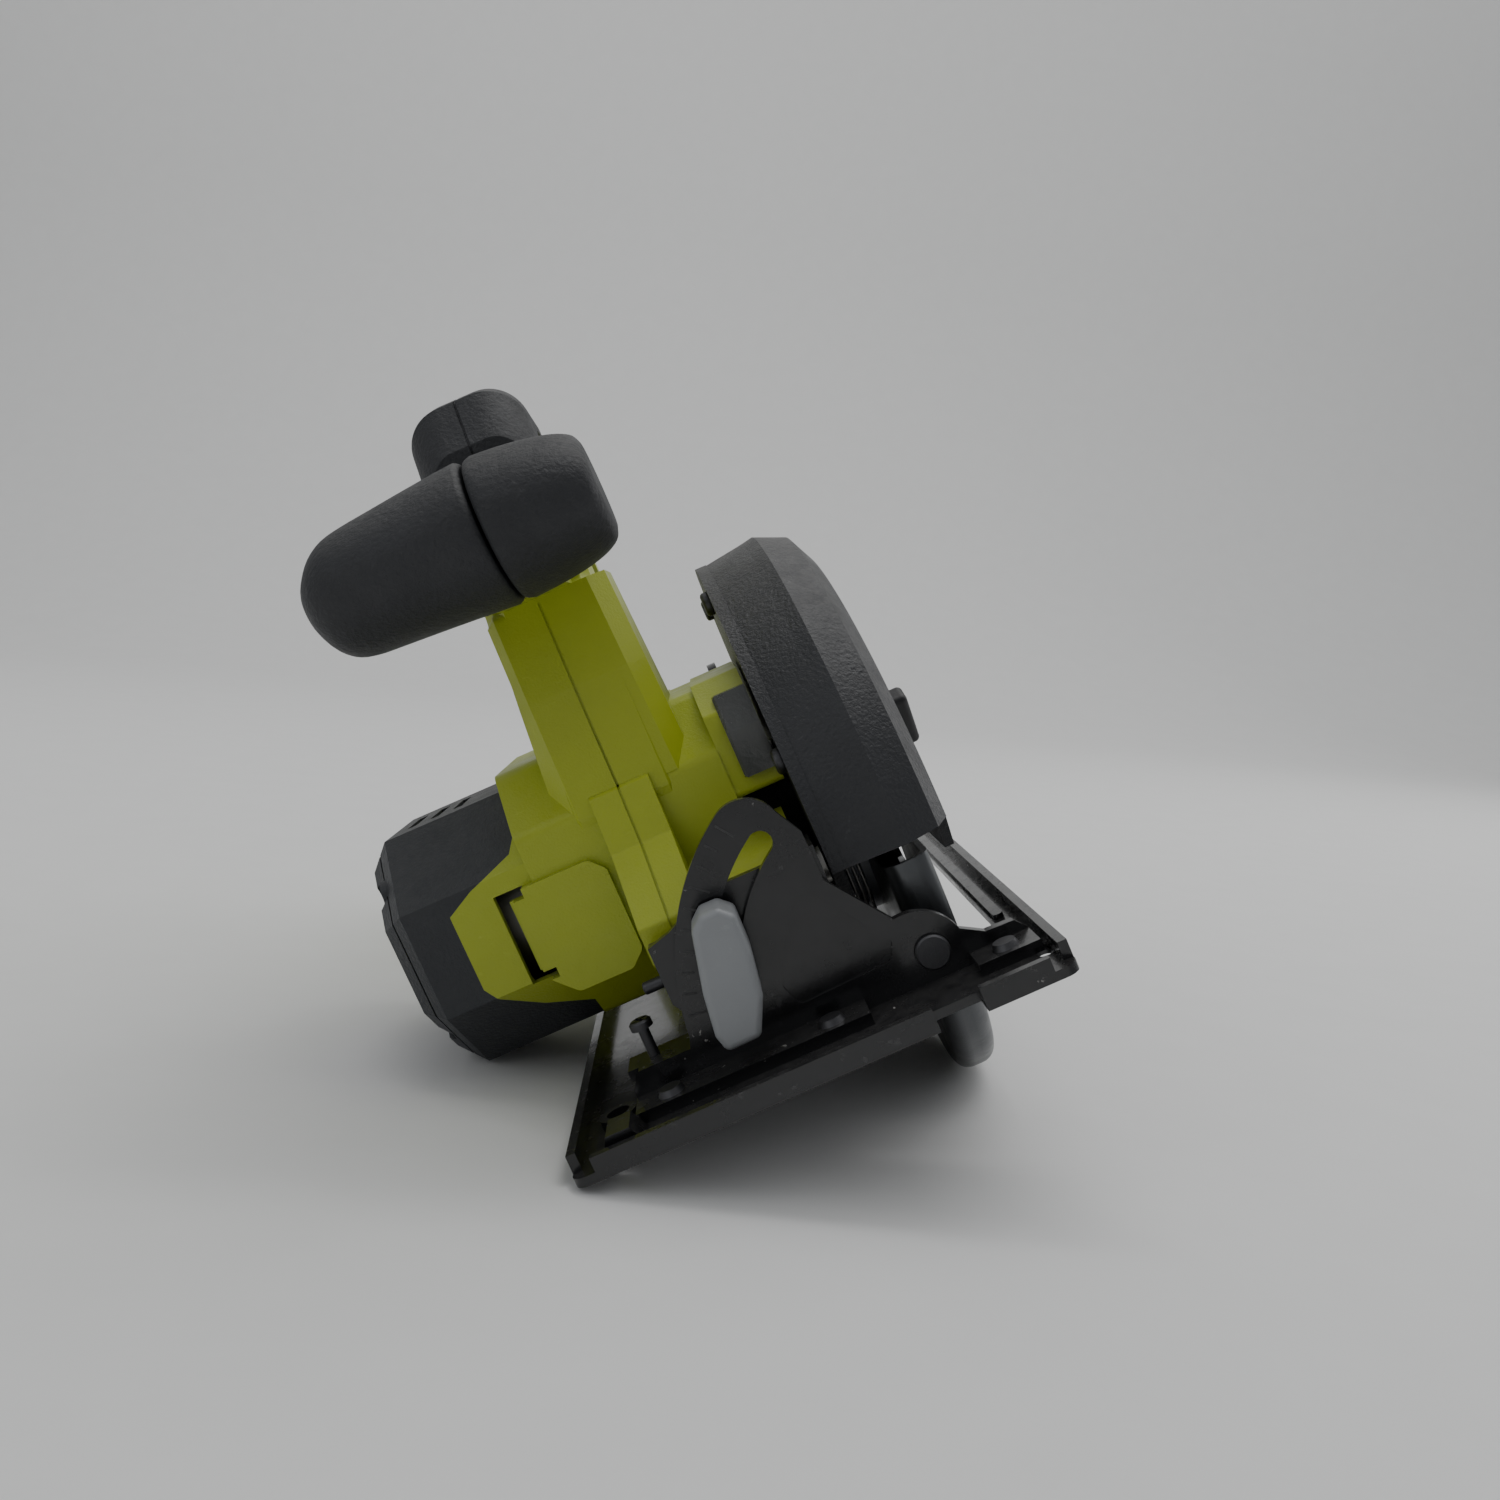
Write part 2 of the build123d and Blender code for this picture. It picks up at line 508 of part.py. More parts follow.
left_shell = clamshell_half(HANDLE_LEFT, BODY_LEFT, DOCK_LEFT)
right_shell = clamshell_half(HANDLE_RIGHT, BODY_RIGHT, DOCK_RIGHT)

with BuildPart() as tongue:
    slab(CAP, TONGUE_LEFT, BODY_LEFT)
    with BuildSketch(facing(TONGUE_REAR)):
        Polygon(*TONGUE)
    extrude(amount=TONGUE_REAR - 40, mode=Mode.INTERSECT)

with BuildPart() as left_housing:
    add(left_shell.part)
    # bulkhead between motor and cap keeps its wall round the motor tube
    disc(BODY_LEFT, BODY_LEFT + WALL, MOTOR_TUBE + 0.5, MOTOR, mode=Mode.SUBTRACT)
    for post in CAP_SCREWS:
        disc(BODY_LEFT + 0.5, BODY_LEFT + 14, 3.4, post)
        disc(BODY_LEFT, BODY_LEFT + 14, CAP_THREAD, post, mode=Mode.SUBTRACT)
    add(tongue.part)
    slab(CAP, TONGUE_LEFT, BODY_LEFT, inset=WALL, mode=Mode.SUBTRACT)
    # raised pad in front, across the tongue and the body
    with BuildSketch(facing(52)) as pad:
        Polygon((2.2, 30.5), (2.2, 49.4), (4.6, 51.4), (21.5, 51.4), (24.8, 48.0), (24.8, 28.0), (21.0, 24.6),
                (8.0, 24.6))
        fillet(pad.vertices(), 2)
    extrude(pad.sketch, amount=3.4)
    # C-shaped intake slot in the tongue
    for x, z, width, height in ((-0.4, 40.6, 3.0, 22.0), (2.2, 50.4, 6.0, 2.4), (2.2, 30.8, 6.0, 2.4)):
        with Locations((x, 54, z)):
            Box(width, 12, height, mode=Mode.SUBTRACT)
pieces["left_housing"] = left_housing

with BuildPart() as right_housing:
    add(right_shell.part)
    slab(CHEEK, BODY_RIGHT, 69.5, corner=1.5)
    slab(CHEEK, BODY_RIGHT, 67.0, corner=1.5, inset=WALL, mode=Mode.SUBTRACT)
    slab(LENS, 61.5, 69.5, mode=Mode.SUBTRACT)
    slab(PIVOT_BOSS, EAR_LEFT + PLATE + AIR, EAR_RIGHT - AIR, corner=1.5)
    disc(EAR_LEFT, EAR_RIGHT, 3.0 + RUNNING, DEPTH_AXIS, mode=Mode.SUBTRACT)
    disc(BODY_RIGHT - WALL, BODY_RIGHT, 12.0, MOTOR, mode=Mode.SUBTRACT)
    for post in HANDLE_SCREWS:
        side = handle_side(*post)
        disc(side - HEAD_SINK, HANDLE_RIGHT, HANDLE_HEAD + 0.1, post, mode=Mode.SUBTRACT)
pieces["right_housing"] = right_housing

with BuildPart() as housing_screws:
    for post in HANDLE_SCREWS:
        side = handle_side(*post)
        disc(SEAM - 9, side - HEAD_SINK, HANDLE_THREAD, post)
        disc(side - HEAD_SINK, side - HEAD_SINK + 2.0, HANDLE_HEAD, post)
pieces["housing_screws"] = housing_screws

with BuildPart() as motor_end_cap:
    slab(CAP, CAP_LEFT, BODY_LEFT)
    chamfer(motor_end_cap.faces().sort_by(Axis.X)[0].edges(), 6)
    slab(CAP, CAP_LEFT + 3.0, BODY_LEFT, inset=WALL, mode=Mode.SUBTRACT)
    with BuildSketch(facing(TONGUE_REAR)):
        Polygon(*TONGUE)
    extrude(amount=TONGUE_REAR - 40, mode=Mode.SUBTRACT)
    ring(CAP_LEFT + 2.0, CAP_LEFT + 10.0, 10.5, 8.0, MOTOR)
    for post in CAP_SCREWS:
        disc(CAP_LEFT + 2.0, CAP_LEFT + 8.0, 3.4, post)
        disc(CAP_LEFT, CAP_LEFT + CAP_SINK, CAP_HEAD + 0.2, post, mode=Mode.SUBTRACT)
        disc(CAP_LEFT, CAP_LEFT + CAP_SINK + 4, CAP_THREAD, post, mode=Mode.SUBTRACT)
    # exhaust slots through the top, bottom and rear facets
    for x in (-18.0, -12.0, -6.0):
        with Locations((x, 85, 71), (x, 85, 14)):
            Box(2.4, 16, 8, mode=Mode.SUBTRACT)
pieces["motor_end_cap"] = motor_end_cap

with BuildPart() as cap_screws:
    for post in CAP_SCREWS:
        disc(CAP_LEFT + CAP_SINK, BODY_LEFT + 12.0, CAP_THREAD, post)
        disc(CAP_LEFT + CAP_SINK - 2.4, CAP_LEFT + CAP_SINK, CAP_HEAD, post)
pieces["cap_screws"] = cap_screws


def grip_end(sections):
    """A front grip half: oval sections along X, each (x, half depth, half height)."""
    with BuildPart() as grip:
        for x, half_depth, half_height in sections:
            with BuildSketch(across(x)):
                with Locations(GRIP_CENTRE):
                    Ellipse(half_depth, half_height)
        loft(ruled=True)
    return grip


left_end = [(SEAM, 21.0, 15.8), (8.0, 18.8, 13.8), (2.0, 17.6, 12.8), (-2.4, 15.2, 10.8), (-4.8, 12.0, 8.2),
            (-6.0, 7.0, 4.8)]
right_end = [(SEAM, 21.0, 15.8), (51.6, 20.3, 15.0), (58.4, 16.4, 11.2)]
neck_block = [(30, 60), (50, 60), (53, 88), (57, 109.5), (100, 109.5), (100, 60)]
for name, sections in (("left_front_grip", left_end), ("right_front_grip", right_end)):
    grip = grip_end(sections)
    with BuildPart() as fitted:
        add(grip.part)
        slab(neck_block, -20, 70, mode=Mode.SUBTRACT)
        slab(STUB, STUB_LEFT, STUB_RIGHT, mode=Mode.SUBTRACT)
        slab([(57, 109.5), (57, 150), (80, 150), (80, 109.5)], -20, 70, mode=Mode.SUBTRACT)
    pieces[name] = fitted

SKIN_LEFT, SKIN_RIGHT, SKIN_CORNER = 20.0, 48.6, 10.0
SKIN_TOP = GRIP_SKIN[1:7]
with BuildPart() as rounded_bar:
    slab(GRIP_SKIN, SKIN_LEFT, SKIN_RIGHT)
    for (y, z), (next_y, next_z) in zip(SKIN_TOP, SKIN_TOP[1:]):
        way = (0, next_y - y, next_z - z)
        with BuildSketch(Plane(origin=(0, y, z), x_dir=(1, 0, 0), z_dir=way)) as bar:
            with Locations(((SKIN_LEFT + SKIN_RIGHT) / 2, 0)):
                Rectangle(SKIN_RIGHT - SKIN_LEFT, 90, align=(Align.CENTER, Align.MIN))
            fillet(bar.vertices().group_by(Axis.Y)[0], SKIN_CORNER)
        extrude(bar.sketch, amount=250, both=True, mode=Mode.INTERSECT)

for name, side, skin_x in (("left_handle_grip", HANDLE_LEFT, SKIN_LEFT),
                           ("right_handle_grip", HANDLE_RIGHT, SKIN_RIGHT)):
    core = loop_half(side)
    with BuildPart() as skin:
        slab(GRIP_SKIN, SEAM, skin_x)
        add(rounded_bar.part, mode=Mode.INTERSECT)
        if side > SEAM:
            taper_cut(skin_x)
        add(core.part, mode=Mode.SUBTRACT)
        disc(SEAM, skin_x, LOCK_OFF_RADIUS + 0.15, LOCK_OFF, mode=Mode.SUBTRACT)
        with BuildSketch(across(SEAM)) as band:
            Polygon(*GRIP_SKIN)
            offset(amount=-GROOVE_DEPTH, mode=Mode.SUBTRACT)
        extrude(band.sketch, amount=GROOVE if side > SEAM else -GROOVE, mode=Mode.SUBTRACT)
    pieces[name] = skin

with BuildPart() as work_lamp_lens:
    slab(LENS, 61.5, 69.5)
    chamfer(work_lamp_lens.faces().sort_by(Axis.X)[0].edges(), 0.6)
pieces["work_lamp_lens"] = work_lamp_lens

with BuildPart() as lamp_board:
    with Locations((65.0, 59.4, 64.0)):
        Box(3.6, 1.6, 12.0)
    with Locations((65.0, 57.9, 64.0)):
        Cylinder(1.4, 1.6, rotation=(90, 0, 0))
pieces["lamp_board"] = lamp_board

# ================================================================ gear case and guards
GEAR_LEFT, GEAR_RIGHT = 62.2, 69.4
CASE_LEFT, CASE_WALL_LEFT = BODY_RIGHT, 70.5
CASE_RADIUS = 24.3
WALL_CUT = [(10, -70), (10, 30), (40, 30), (56, 9), (160, 6), (168, 22), (200, 22), (200, -70)]
COVER_CUT = [(10, -70), (10, 30), (40, 30), (46, 22), (200, 22), (200, -70)]
COVER_SCREWS = [around(ARBOR, 70.0, angle) for angle in (22, 66, 110, 156)]
DEPTH_BOLT = around(DEPTH_AXIS, DEPTH_RADIUS, DEPTH_ANGLE)
MESH = hypot(ARBOR[0] - MOTOR[0], ARBOR[1] - MOTOR[1])
MODULE = 2 * MESH / (PINION_TEETH + GEAR_TEETH)
LOCK_ANGLE = 75.0

with BuildPart() as gear_case:
    disc(CASE_LEFT, CASE_WALL_LEFT, CASE_RADIUS)
    disc(CASE_LEFT, CASE_WALL_LEFT, 13.0, MOTOR)
    disc(CASE_WALL_LEFT, GUARD_LEFT, GUARD_RADIUS - 1.8)
    slab(WALL_CUT, CASE_WALL_LEFT, GUARD_LEFT, mode=Mode.SUBTRACT)
    disc(GUARD_LEFT, 80.4, HUB_RADIUS)
    disc(GEAR_LEFT - 0.8, GEAR_RIGHT + 0.8, 22.4, mode=Mode.SUBTRACT)
    disc(GEAR_LEFT - 0.8, GEAR_RIGHT + 0.8, 8.4, MOTOR, mode=Mode.SUBTRACT)
    disc(CASE_LEFT, GEAR_LEFT, 8.0, MOTOR, mode=Mode.SUBTRACT)
    disc(CASE_LEFT + 1.0, GEAR_LEFT, 6.5, mode=Mode.SUBTRACT)
    disc(GEAR_RIGHT, 80.4, 7.5, mode=Mode.SUBTRACT)
    disc(73.4, 80.4, 11.0, mode=Mode.SUBTRACT)
    disc(CASE_WALL_LEFT, GUARD_LEFT, 2.9, DEPTH_BOLT, mode=Mode.SUBTRACT)
    for post in COVER_SCREWS:
        disc(CASE_WALL_LEFT, GUARD_LEFT, 1.5, post, mode=Mode.SUBTRACT)
    lock_bore = Plane(origin=(65.0, *ARBOR), z_dir=(0, cos(radians(LOCK_ANGLE)), sin(radians(LOCK_ANGLE))))
    with BuildSketch(lock_bore.offset(20)):
        Circle(2.5)
    extrude(amount=10, mode=Mode.SUBTRACT)
pieces["gear_case"] = gear_case

guard_axis = Axis((0, *ARBOR), (1, 0, 0))


def guard_section(points):
    """Half section through a guard: points are (x, radius) from the spindle axis."""
    return [(x, ARBOR[1] + radius) for x, radius in points]


with BuildPart() as upper_guard:
    with BuildSketch(facing(ARBOR[0])):
        Polygon(*guard_section([
            (GUARD_LEFT, 73.4), (GUARD_LEFT, 75.0), (84.0, 76.4), (87.3, GUARD_RADIUS), (95.3, 73.6),
            (GUARD_RIGHT, 67.0), (GUARD_RIGHT, 36.0), (GUARD_RIGHT - GUARD_WALL, 36.0),
            (GUARD_RIGHT - GUARD_WALL, 66.4), (93.8, 71.8), (87.2, 74.7), (84.0, 74.3)]))
    revolve(axis=guard_axis)
    for post in COVER_SCREWS:
        disc(GUARD_LEFT, 80.2, 3.4, post)
    ring(GUARD_LEFT, 80.2, 74.6, 73.0)
    slab(COVER_CUT, GUARD_LEFT, GUARD_RIGHT, mode=Mode.SUBTRACT)
    for post in COVER_SCREWS:
        disc(GUARD_LEFT, 79.0, 1.5, post, mode=Mode.SUBTRACT)
pieces["upper_guard"] = upper_guard

with BuildPart() as guard_screws:
    for post in COVER_SCREWS:
        disc(CASE_WALL_LEFT, 79.0, 1.5, post)
        disc(CASE_WALL_LEFT, CASE_WALL_LEFT - 2.0, 3.0, post)
pieces["guard_screws"] = guard_screws

with BuildPart() as lower_guard:
    with BuildSketch(facing(ARBOR[0])) as channel:
        Polygon(*guard_section([(LOWER_LEFT, 25), (LOWER_LEFT, LOWER_RADIUS), (LOWER_RIGHT, LOWER_RADIUS),
                                (LOWER_RIGHT, 25)]))
        fillet(channel.vertices().group_by(Axis.Y)[-1], LOWER_CORNER)
    revolve(axis=guard_axis)
    with BuildSketch(facing(ARBOR[0])) as hollow:
        Polygon(*guard_section([(LOWER_LEFT + LOWER_WALL, 10), (LOWER_LEFT + LOWER_WALL, LOWER_RADIUS - LOWER_WALL),
                                (LOWER_RIGHT - LOWER_WALL, LOWER_RADIUS - LOWER_WALL), (LOWER_RIGHT - LOWER_WALL, 10)]))
        fillet(hollow.vertices().group_by(Axis.Y)[-1], LOWER_CORNER - LOWER_WALL)
    revolve(axis=guard_axis, mode=Mode.SUBTRACT)
    opening = [ARBOR, (-10, 25), (-10, 200), (260, 200), (260, ARBOR[1] - 27.2)]
    slab(opening, LOWER_LEFT, LOWER_RIGHT, mode=Mode.SUBTRACT)
    ring(75.0, LOWER_LEFT + LOWER_WALL, 26.0, HUB_RADIUS + RUNNING)
    ring(LOWER_RIGHT - LOWER_WALL, LOWER_RIGHT, 34.0, 24.0)
pieces["lower_guard"] = lower_guard

LEVER_ANGLE = 30.0
with BuildPart() as guard_lever:
    foot = around(ARBOR, 29.0, LEVER_ANGLE)
    with Locations(Location((LOWER_RIGHT + 1.0, *foot), (LEVER_ANGLE, 0, 0))):
        Box(2.0, 10.0, 18.0)
    with Locations(Location((LOWER_RIGHT + 6.5, *foot), (LEVER_ANGLE, 0, 0))):
        Box(13.0, 2.0, 14.0)
pieces["guard_lever"] = guard_lever

with BuildPart() as guard_lever_knob:
    with Locations(Location((107.0, *foot), (LEVER_ANGLE, 0, 0))):
        Box(8.0, 7.0, 17.0)
    fillet(guard_lever_knob.edges(), 1.6)
    with Locations(Location((LOWER_RIGHT + 6.5, *foot), (LEVER_ANGLE, 0, 0))):
        Box(13.0, 2.0, 14.0, mode=Mode.SUBTRACT)
pieces["guard_lever_knob"] = guard_lever_knob

with BuildPart() as guard_return_spring:
    coil = Helix(pitch=1.5, height=3.6, radius=28.0, center=(74.6, *ARBOR), direction=(1, 0, 0))
    with BuildSketch(Plane(origin=coil @ 0, z_dir=coil % 0)):
        Circle(0.5)
    sweep(path=coil)
pieces["guard_return_spring"] = guard_return_spring

with BuildPart() as depth_lock_bolt:
    disc(56.5, GUARD_LEFT, 2.9, DEPTH_BOLT)
    disc(GUARD_LEFT, GUARD_LEFT + 2.4, 5.6, DEPTH_BOLT)
pieces["depth_lock_bolt"] = depth_lock_bolt

with BuildPart() as depth_lock_lever:
    lever_right = DEPTH_PLATE_LEFT - AIR
    y, z = DEPTH_BOLT
    slab([(y - 6, z - 5), (y - 6, z + 4), (y, z + 7), (y + 8, z + 7), (y + 44, z + 13), (y + 47, z + 10),
          (y + 44, z + 5), (y + 8, z - 5)], lever_right - 4.2, lever_right, corner=2)
    disc(lever_right - 6.0, lever_right, 5.4, DEPTH_BOLT)
    disc(lever_right - 6.0, lever_right, 2.9 + RUNNING, DEPTH_BOLT, mode=Mode.SUBTRACT)
pieces["depth_lock_lever"] = depth_lock_lever

# ================================================================ spindle
FLANGE_LEFT = 81.8
with BuildPart() as spindle:
    disc(CASE_LEFT + 1.2, GEAR_LEFT, 4.0)
    disc(GEAR_LEFT, 80.4, 6.0)
    disc(80.4, BLADE_LEFT + BLADE_BODY, 5.0)
    disc(72.0, BLADE_LEFT + BLADE_BODY, 3.0, mode=Mode.SUBTRACT)
pieces["spindle"] = spindle

with BuildPart() as spindle_inner_bearing:
    ring(CASE_LEFT + 1.0, GEAR_LEFT - 0.2, 6.5, 4.0 + RUNNING)
pieces["spindle_inner_bearing"] = spindle_inner_bearing

with BuildPart() as spindle_outer_bearing:
    ring(73.4, 80.0, 11.0, 6.0 + RUNNING)
pieces["spindle_outer_bearing"] = spindle_outer_bearing

with BuildPart() as inner_flange:
    ring(FLANGE_LEFT, BLADE_LEFT, 16.0, 5.0)
    chamfer(inner_flange.faces().sort_by(Axis.X)[0].edges().sort_by(SortBy.LENGTH)[-1:], 1.2)
pieces["inner_flange"] = inner_flange

with BuildPart() as outer_flange:
    ring(BLADE_LEFT + BLADE_BODY, BLADE_LEFT + BLADE_BODY + 2.4, 14.0, 3.0)
    chamfer(outer_flange.faces().sort_by(Axis.X)[-1].edges().sort_by(SortBy.LENGTH)[-1:], 1.0)
pieces["outer_flange"] = outer_flange

with BuildPart() as blade_bolt:
    disc(73.0, BLADE_LEFT + BLADE_BODY + 2.4, 3.0)
    with BuildSketch(across(BLADE_LEFT + BLADE_BODY + 2.4)):
        with Locations(ARBOR):
            RegularPolygon(6.0, 6)
    extrude(amount=4.0)
    disc(BLADE_LEFT + BLADE_BODY + 2.4, BLADE_LEFT + BLADE_BODY + 3.4, 8.0)
pieces["blade_bolt"] = blade_bolt

with BuildPart() as blade:
    with BuildSketch(Plane(origin=(BLADE_LEFT, *ARBOR), x_dir=(0, 1, 0), z_dir=(1, 0, 0))):
        Circle(BLADE_RADIUS - 5)
        with PolarLocations(0, BLADE_TEETH):
            Polygon((BLADE_RADIUS - 8, -5.0), (BLADE_RADIUS - 0.8, 0.6), (BLADE_RADIUS, 4.2), (BLADE_RADIUS - 6, 2.8))
        with PolarLocations(BLADE_RADIUS - 9.5, 3):
            SlotOverall(9, 1.4, mode=Mode.SUBTRACT)
        Circle(5.0, mode=Mode.SUBTRACT)
    extrude(amount=BLADE_BODY)
    with BuildSketch(Plane(origin=(BLADE_LEFT - 0.3, *ARBOR), x_dir=(0, 1, 0), z_dir=(1, 0, 0))):
        with PolarLocations(0, BLADE_TEETH):
            Polygon((BLADE_RADIUS - 4, 1.8), (BLADE_RADIUS - 0.5, 2.4), (BLADE_RADIUS, 4.2), (BLADE_RADIUS - 4, 3.3))
    extrude(amount=BLADE_BODY + 0.6)
pieces["blade"] = blade


def toothed_wheel(teeth, x_from, x_to, centre, bore, first_angle):
    """A spur gear along X: straight flanks on a slightly thinned tooth for backlash."""
    pitch_radius = MODULE * teeth / 2
    outline = []
    for tooth in range(teeth):
        middle = first_angle + 360 / teeth * tooth
        for radius, share in ((pitch_radius - 1.2 * MODULE, -0.36), (pitch_radius + 0.85 * MODULE, -0.13),
                              (pitch_radius + 0.85 * MODULE, 0.13), (pitch_radius - 1.2 * MODULE, 0.36)):
            outline.append(around(centre, radius, middle + share * 360 / teeth))
    with BuildPart() as wheel:
        slab(outline, x_from, x_to)
        disc(x_from, x_to, bore, centre, mode=Mode.SUBTRACT)
    return wheel


mesh_angle = degrees(atan2(MOTOR[1] - ARBOR[1], MOTOR[0] - ARBOR[0]))
pieces["spur_gear"] = toothed_wheel(GEAR_TEETH, GEAR_LEFT, GEAR_RIGHT, ARBOR, 6.0, mesh_angle)
pieces["motor_pinion"] = toothed_wheel(PINION_TEETH, GEAR_LEFT, GEAR_RIGHT, MOTOR, 2.5,
                                       mesh_angle + 180 + 180 / PINION_TEETH)

# ================================================================ motor
SHAFT, SHAFT_LEFT, SHAFT_RIGHT = 2.5, CAP_LEFT + 4.5, 69.8
CAN_LEFT, CAN_RIGHT, CAN_WALL = -8.0, 46.0, 1.8
POLES, STACK = 12, 36.0
FAN_LEFT, VANES = 50.0, 14

with BuildPart() as motor_can:
    disc(CAN_LEFT, CAN_RIGHT, MOTOR_TUBE, MOTOR)
    disc(CAN_LEFT, CAN_RIGHT - CAN_WALL, MOTOR_TUBE - CAN_WALL, MOTOR, mode=Mode.SUBTRACT)
    disc(CAN_LEFT, CAN_RIGHT, 6.0, MOTOR, mode=Mode.SUBTRACT)
    for angle in (45, 135, 225, 315):
        disc(CAN_RIGHT - CAN_WALL, CAN_RIGHT, 3.0, around(MOTOR, 13.0, angle), mode=Mode.SUBTRACT)
pieces["motor_can"] = motor_can

with BuildPart() as motor_magnets:
    for start in (35.0, 215.0):
        with BuildSketch(across(CAN_LEFT + 4)):
            curved_slot(MOTOR, 18.2, 3.8, start, start + 110)
        extrude(amount=42)
pieces["motor_magnets"] = motor_magnets

with BuildPart() as armature:
    disc(CAN_LEFT + 8, CAN_LEFT + 8 + STACK, 15.4, MOTOR)
    with BuildSketch(across(CAN_LEFT + 8)):
        for slot in range(POLES):
            with Locations(around(MOTOR, 13.4, slot * 360 / POLES)):
                Rectangle(5.0, 2.0, rotation=slot * 360 / POLES)
    extrude(amount=STACK, mode=Mode.SUBTRACT)
    # end turns of the winding
    disc(CAN_LEFT + 4, CAN_LEFT + 8, 12.5, MOTOR)
    disc(CAN_LEFT + 8 + STACK, CAN_LEFT + 12 + STACK, 12.5, MOTOR)
    disc(CAN_LEFT + 4, CAN_LEFT + 12 + STACK, SHAFT, MOTOR, mode=Mode.SUBTRACT)
pieces["armature"] = armature

with BuildPart() as commutator:
    ring(CAN_LEFT - 7, CAN_LEFT + 4, 7.0, SHAFT, MOTOR)
    with BuildSketch(across(CAN_LEFT - 7)):
        for slot in range(POLES):
            with Locations(around(MOTOR, 6.9, slot * 360 / POLES)):
                Rectangle(1.6, 0.5, rotation=slot * 360 / POLES)
    extrude(amount=9, mode=Mode.SUBTRACT)
pieces["commutator"] = commutator

with BuildPart() as brush_holder:
    ring(CAN_LEFT - 3.5, CAN_LEFT, 21.0, 8.2, MOTOR)
    for side in (-1, 1):
        with Locations((CAN_LEFT - 5.0, MOTOR[0] + side * 13.5, MOTOR[1])):
            Box(6.0, 9.0, 7.0)
pieces["brush_holder"] = brush_holder

with BuildPart() as motor_shaft:
    disc(SHAFT_LEFT, SHAFT_RIGHT, SHAFT, MOTOR)
pieces["motor_shaft"] = motor_shaft

with BuildPart() as cooling_fan:
    ring(FAN_LEFT - 1.6, FAN_LEFT, 20.5, SHAFT, MOTOR)
    ring(FAN_LEFT, FAN_LEFT + 4.6, 5.5, SHAFT, MOTOR)
    with BuildSketch(across(FAN_LEFT)):
        for vane in range(VANES):
            with Locations(around(MOTOR, 14.5, vane * 360 / VANES)):
                Rectangle(11.0, 1.1, rotation=vane * 360 / VANES + 25)
    extrude(amount=4.2)
pieces["cooling_fan"] = cooling_fan

with BuildPart() as motor_bearings:
    ring(CAP_LEFT + 4.8, CAP_LEFT + 9.6, 8.0, SHAFT + RUNNING, MOTOR)
    ring(57.0, GEAR_LEFT - 0.8, 8.0, SHAFT + RUNNING, MOTOR)
pieces["motor_bearings"] = motor_bearings

# ================================================================ controls and electrics
with BuildPart() as trigger:
    slab(TRIGGER, TRIGGER_LEFT, TRIGGER_RIGHT)
    chamfer(trigger.faces().filter_by(Axis.X).edges().filter_by(lambda edge: edge.center().Z < 121), 1.2)
pieces["trigger"] = trigger

with BuildPart() as lock_off_button:
    disc(17.4, 51.2, LOCK_OFF_RADIUS, LOCK_OFF)
    chamfer(lock_off_button.edges().filter_by(GeomType.CIRCLE), 0.5)
pieces["lock_off_button"] = lock_off_button

with BuildPart() as spindle_lock_button:
    with BuildSketch(lock_bore.offset(23.8)):
        Circle(2.4)
    extrude(amount=8.2)
    with BuildSketch(lock_bore.offset(30.2)):
        Circle(4.2)
    extrude(amount=4.0)
    chamfer(spindle_lock_button.faces().sort_by(Axis.Z)[-1].edges(), 0.7)
pieces["spindle_lock_button"] = spindle_lock_button

with BuildPart() as switch_module:
    with Locations(Location((SEAM, *SWITCH), (-SLOPE, 0, 0))):
        Box(14.6, 21.0, 13.0)
    with Locations(Location((SEAM, SWITCH[0] - 11.6, SWITCH[1] + 2.4), (-SLOPE, 0, 0))):
        Box(8.0, 3.0, 4.0)
pieces["switch_module"] = switch_module

with BuildPart() as battery_terminal_block:
    with Locations((SEAM, 190.0, 41.0)):
        Box(30.0, 14.0, 26.0)
    for x in (-9, 0, 9):
        with Locations((SEAM + x, 203.0, 41.0)):
            Box(1.2, 12.0, 18.0)
pieces["battery_terminal_block"] = battery_terminal_block

# ================================================================ hand over
# The saw lies on the left edge of its base and on the rounded lower guard, turned about Y.
reach = hypot(LOWER_LEFT + LOWER_CORNER, LOWER_RADIUS - LOWER_CORNER - ARBOR[1])
ROLL = degrees(asin(LOWER_CORNER / reach) + atan2(LOWER_RADIUS - LOWER_CORNER - ARBOR[1], LOWER_LEFT + LOWER_CORNER))
turned = Location((0, 0, 0), (0, -ROLL, 0))
corners = Compound([builder.part.moved(turned) for builder in pieces.values()]).bounding_box()
resting = Location((-corners.center().X, -corners.center().Y, -corners.min.Z)) * turned

os.makedirs("parts", exist_ok=True)
for name, builder in pieces.items():
    builder.part.label = name
    builder.part.move(resting)
    export_step(builder.part, f"parts/{name}.step")
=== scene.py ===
import json
from math import cos, radians, sin, tau

import bmesh
import bpy
from mathutils import Matrix, Vector


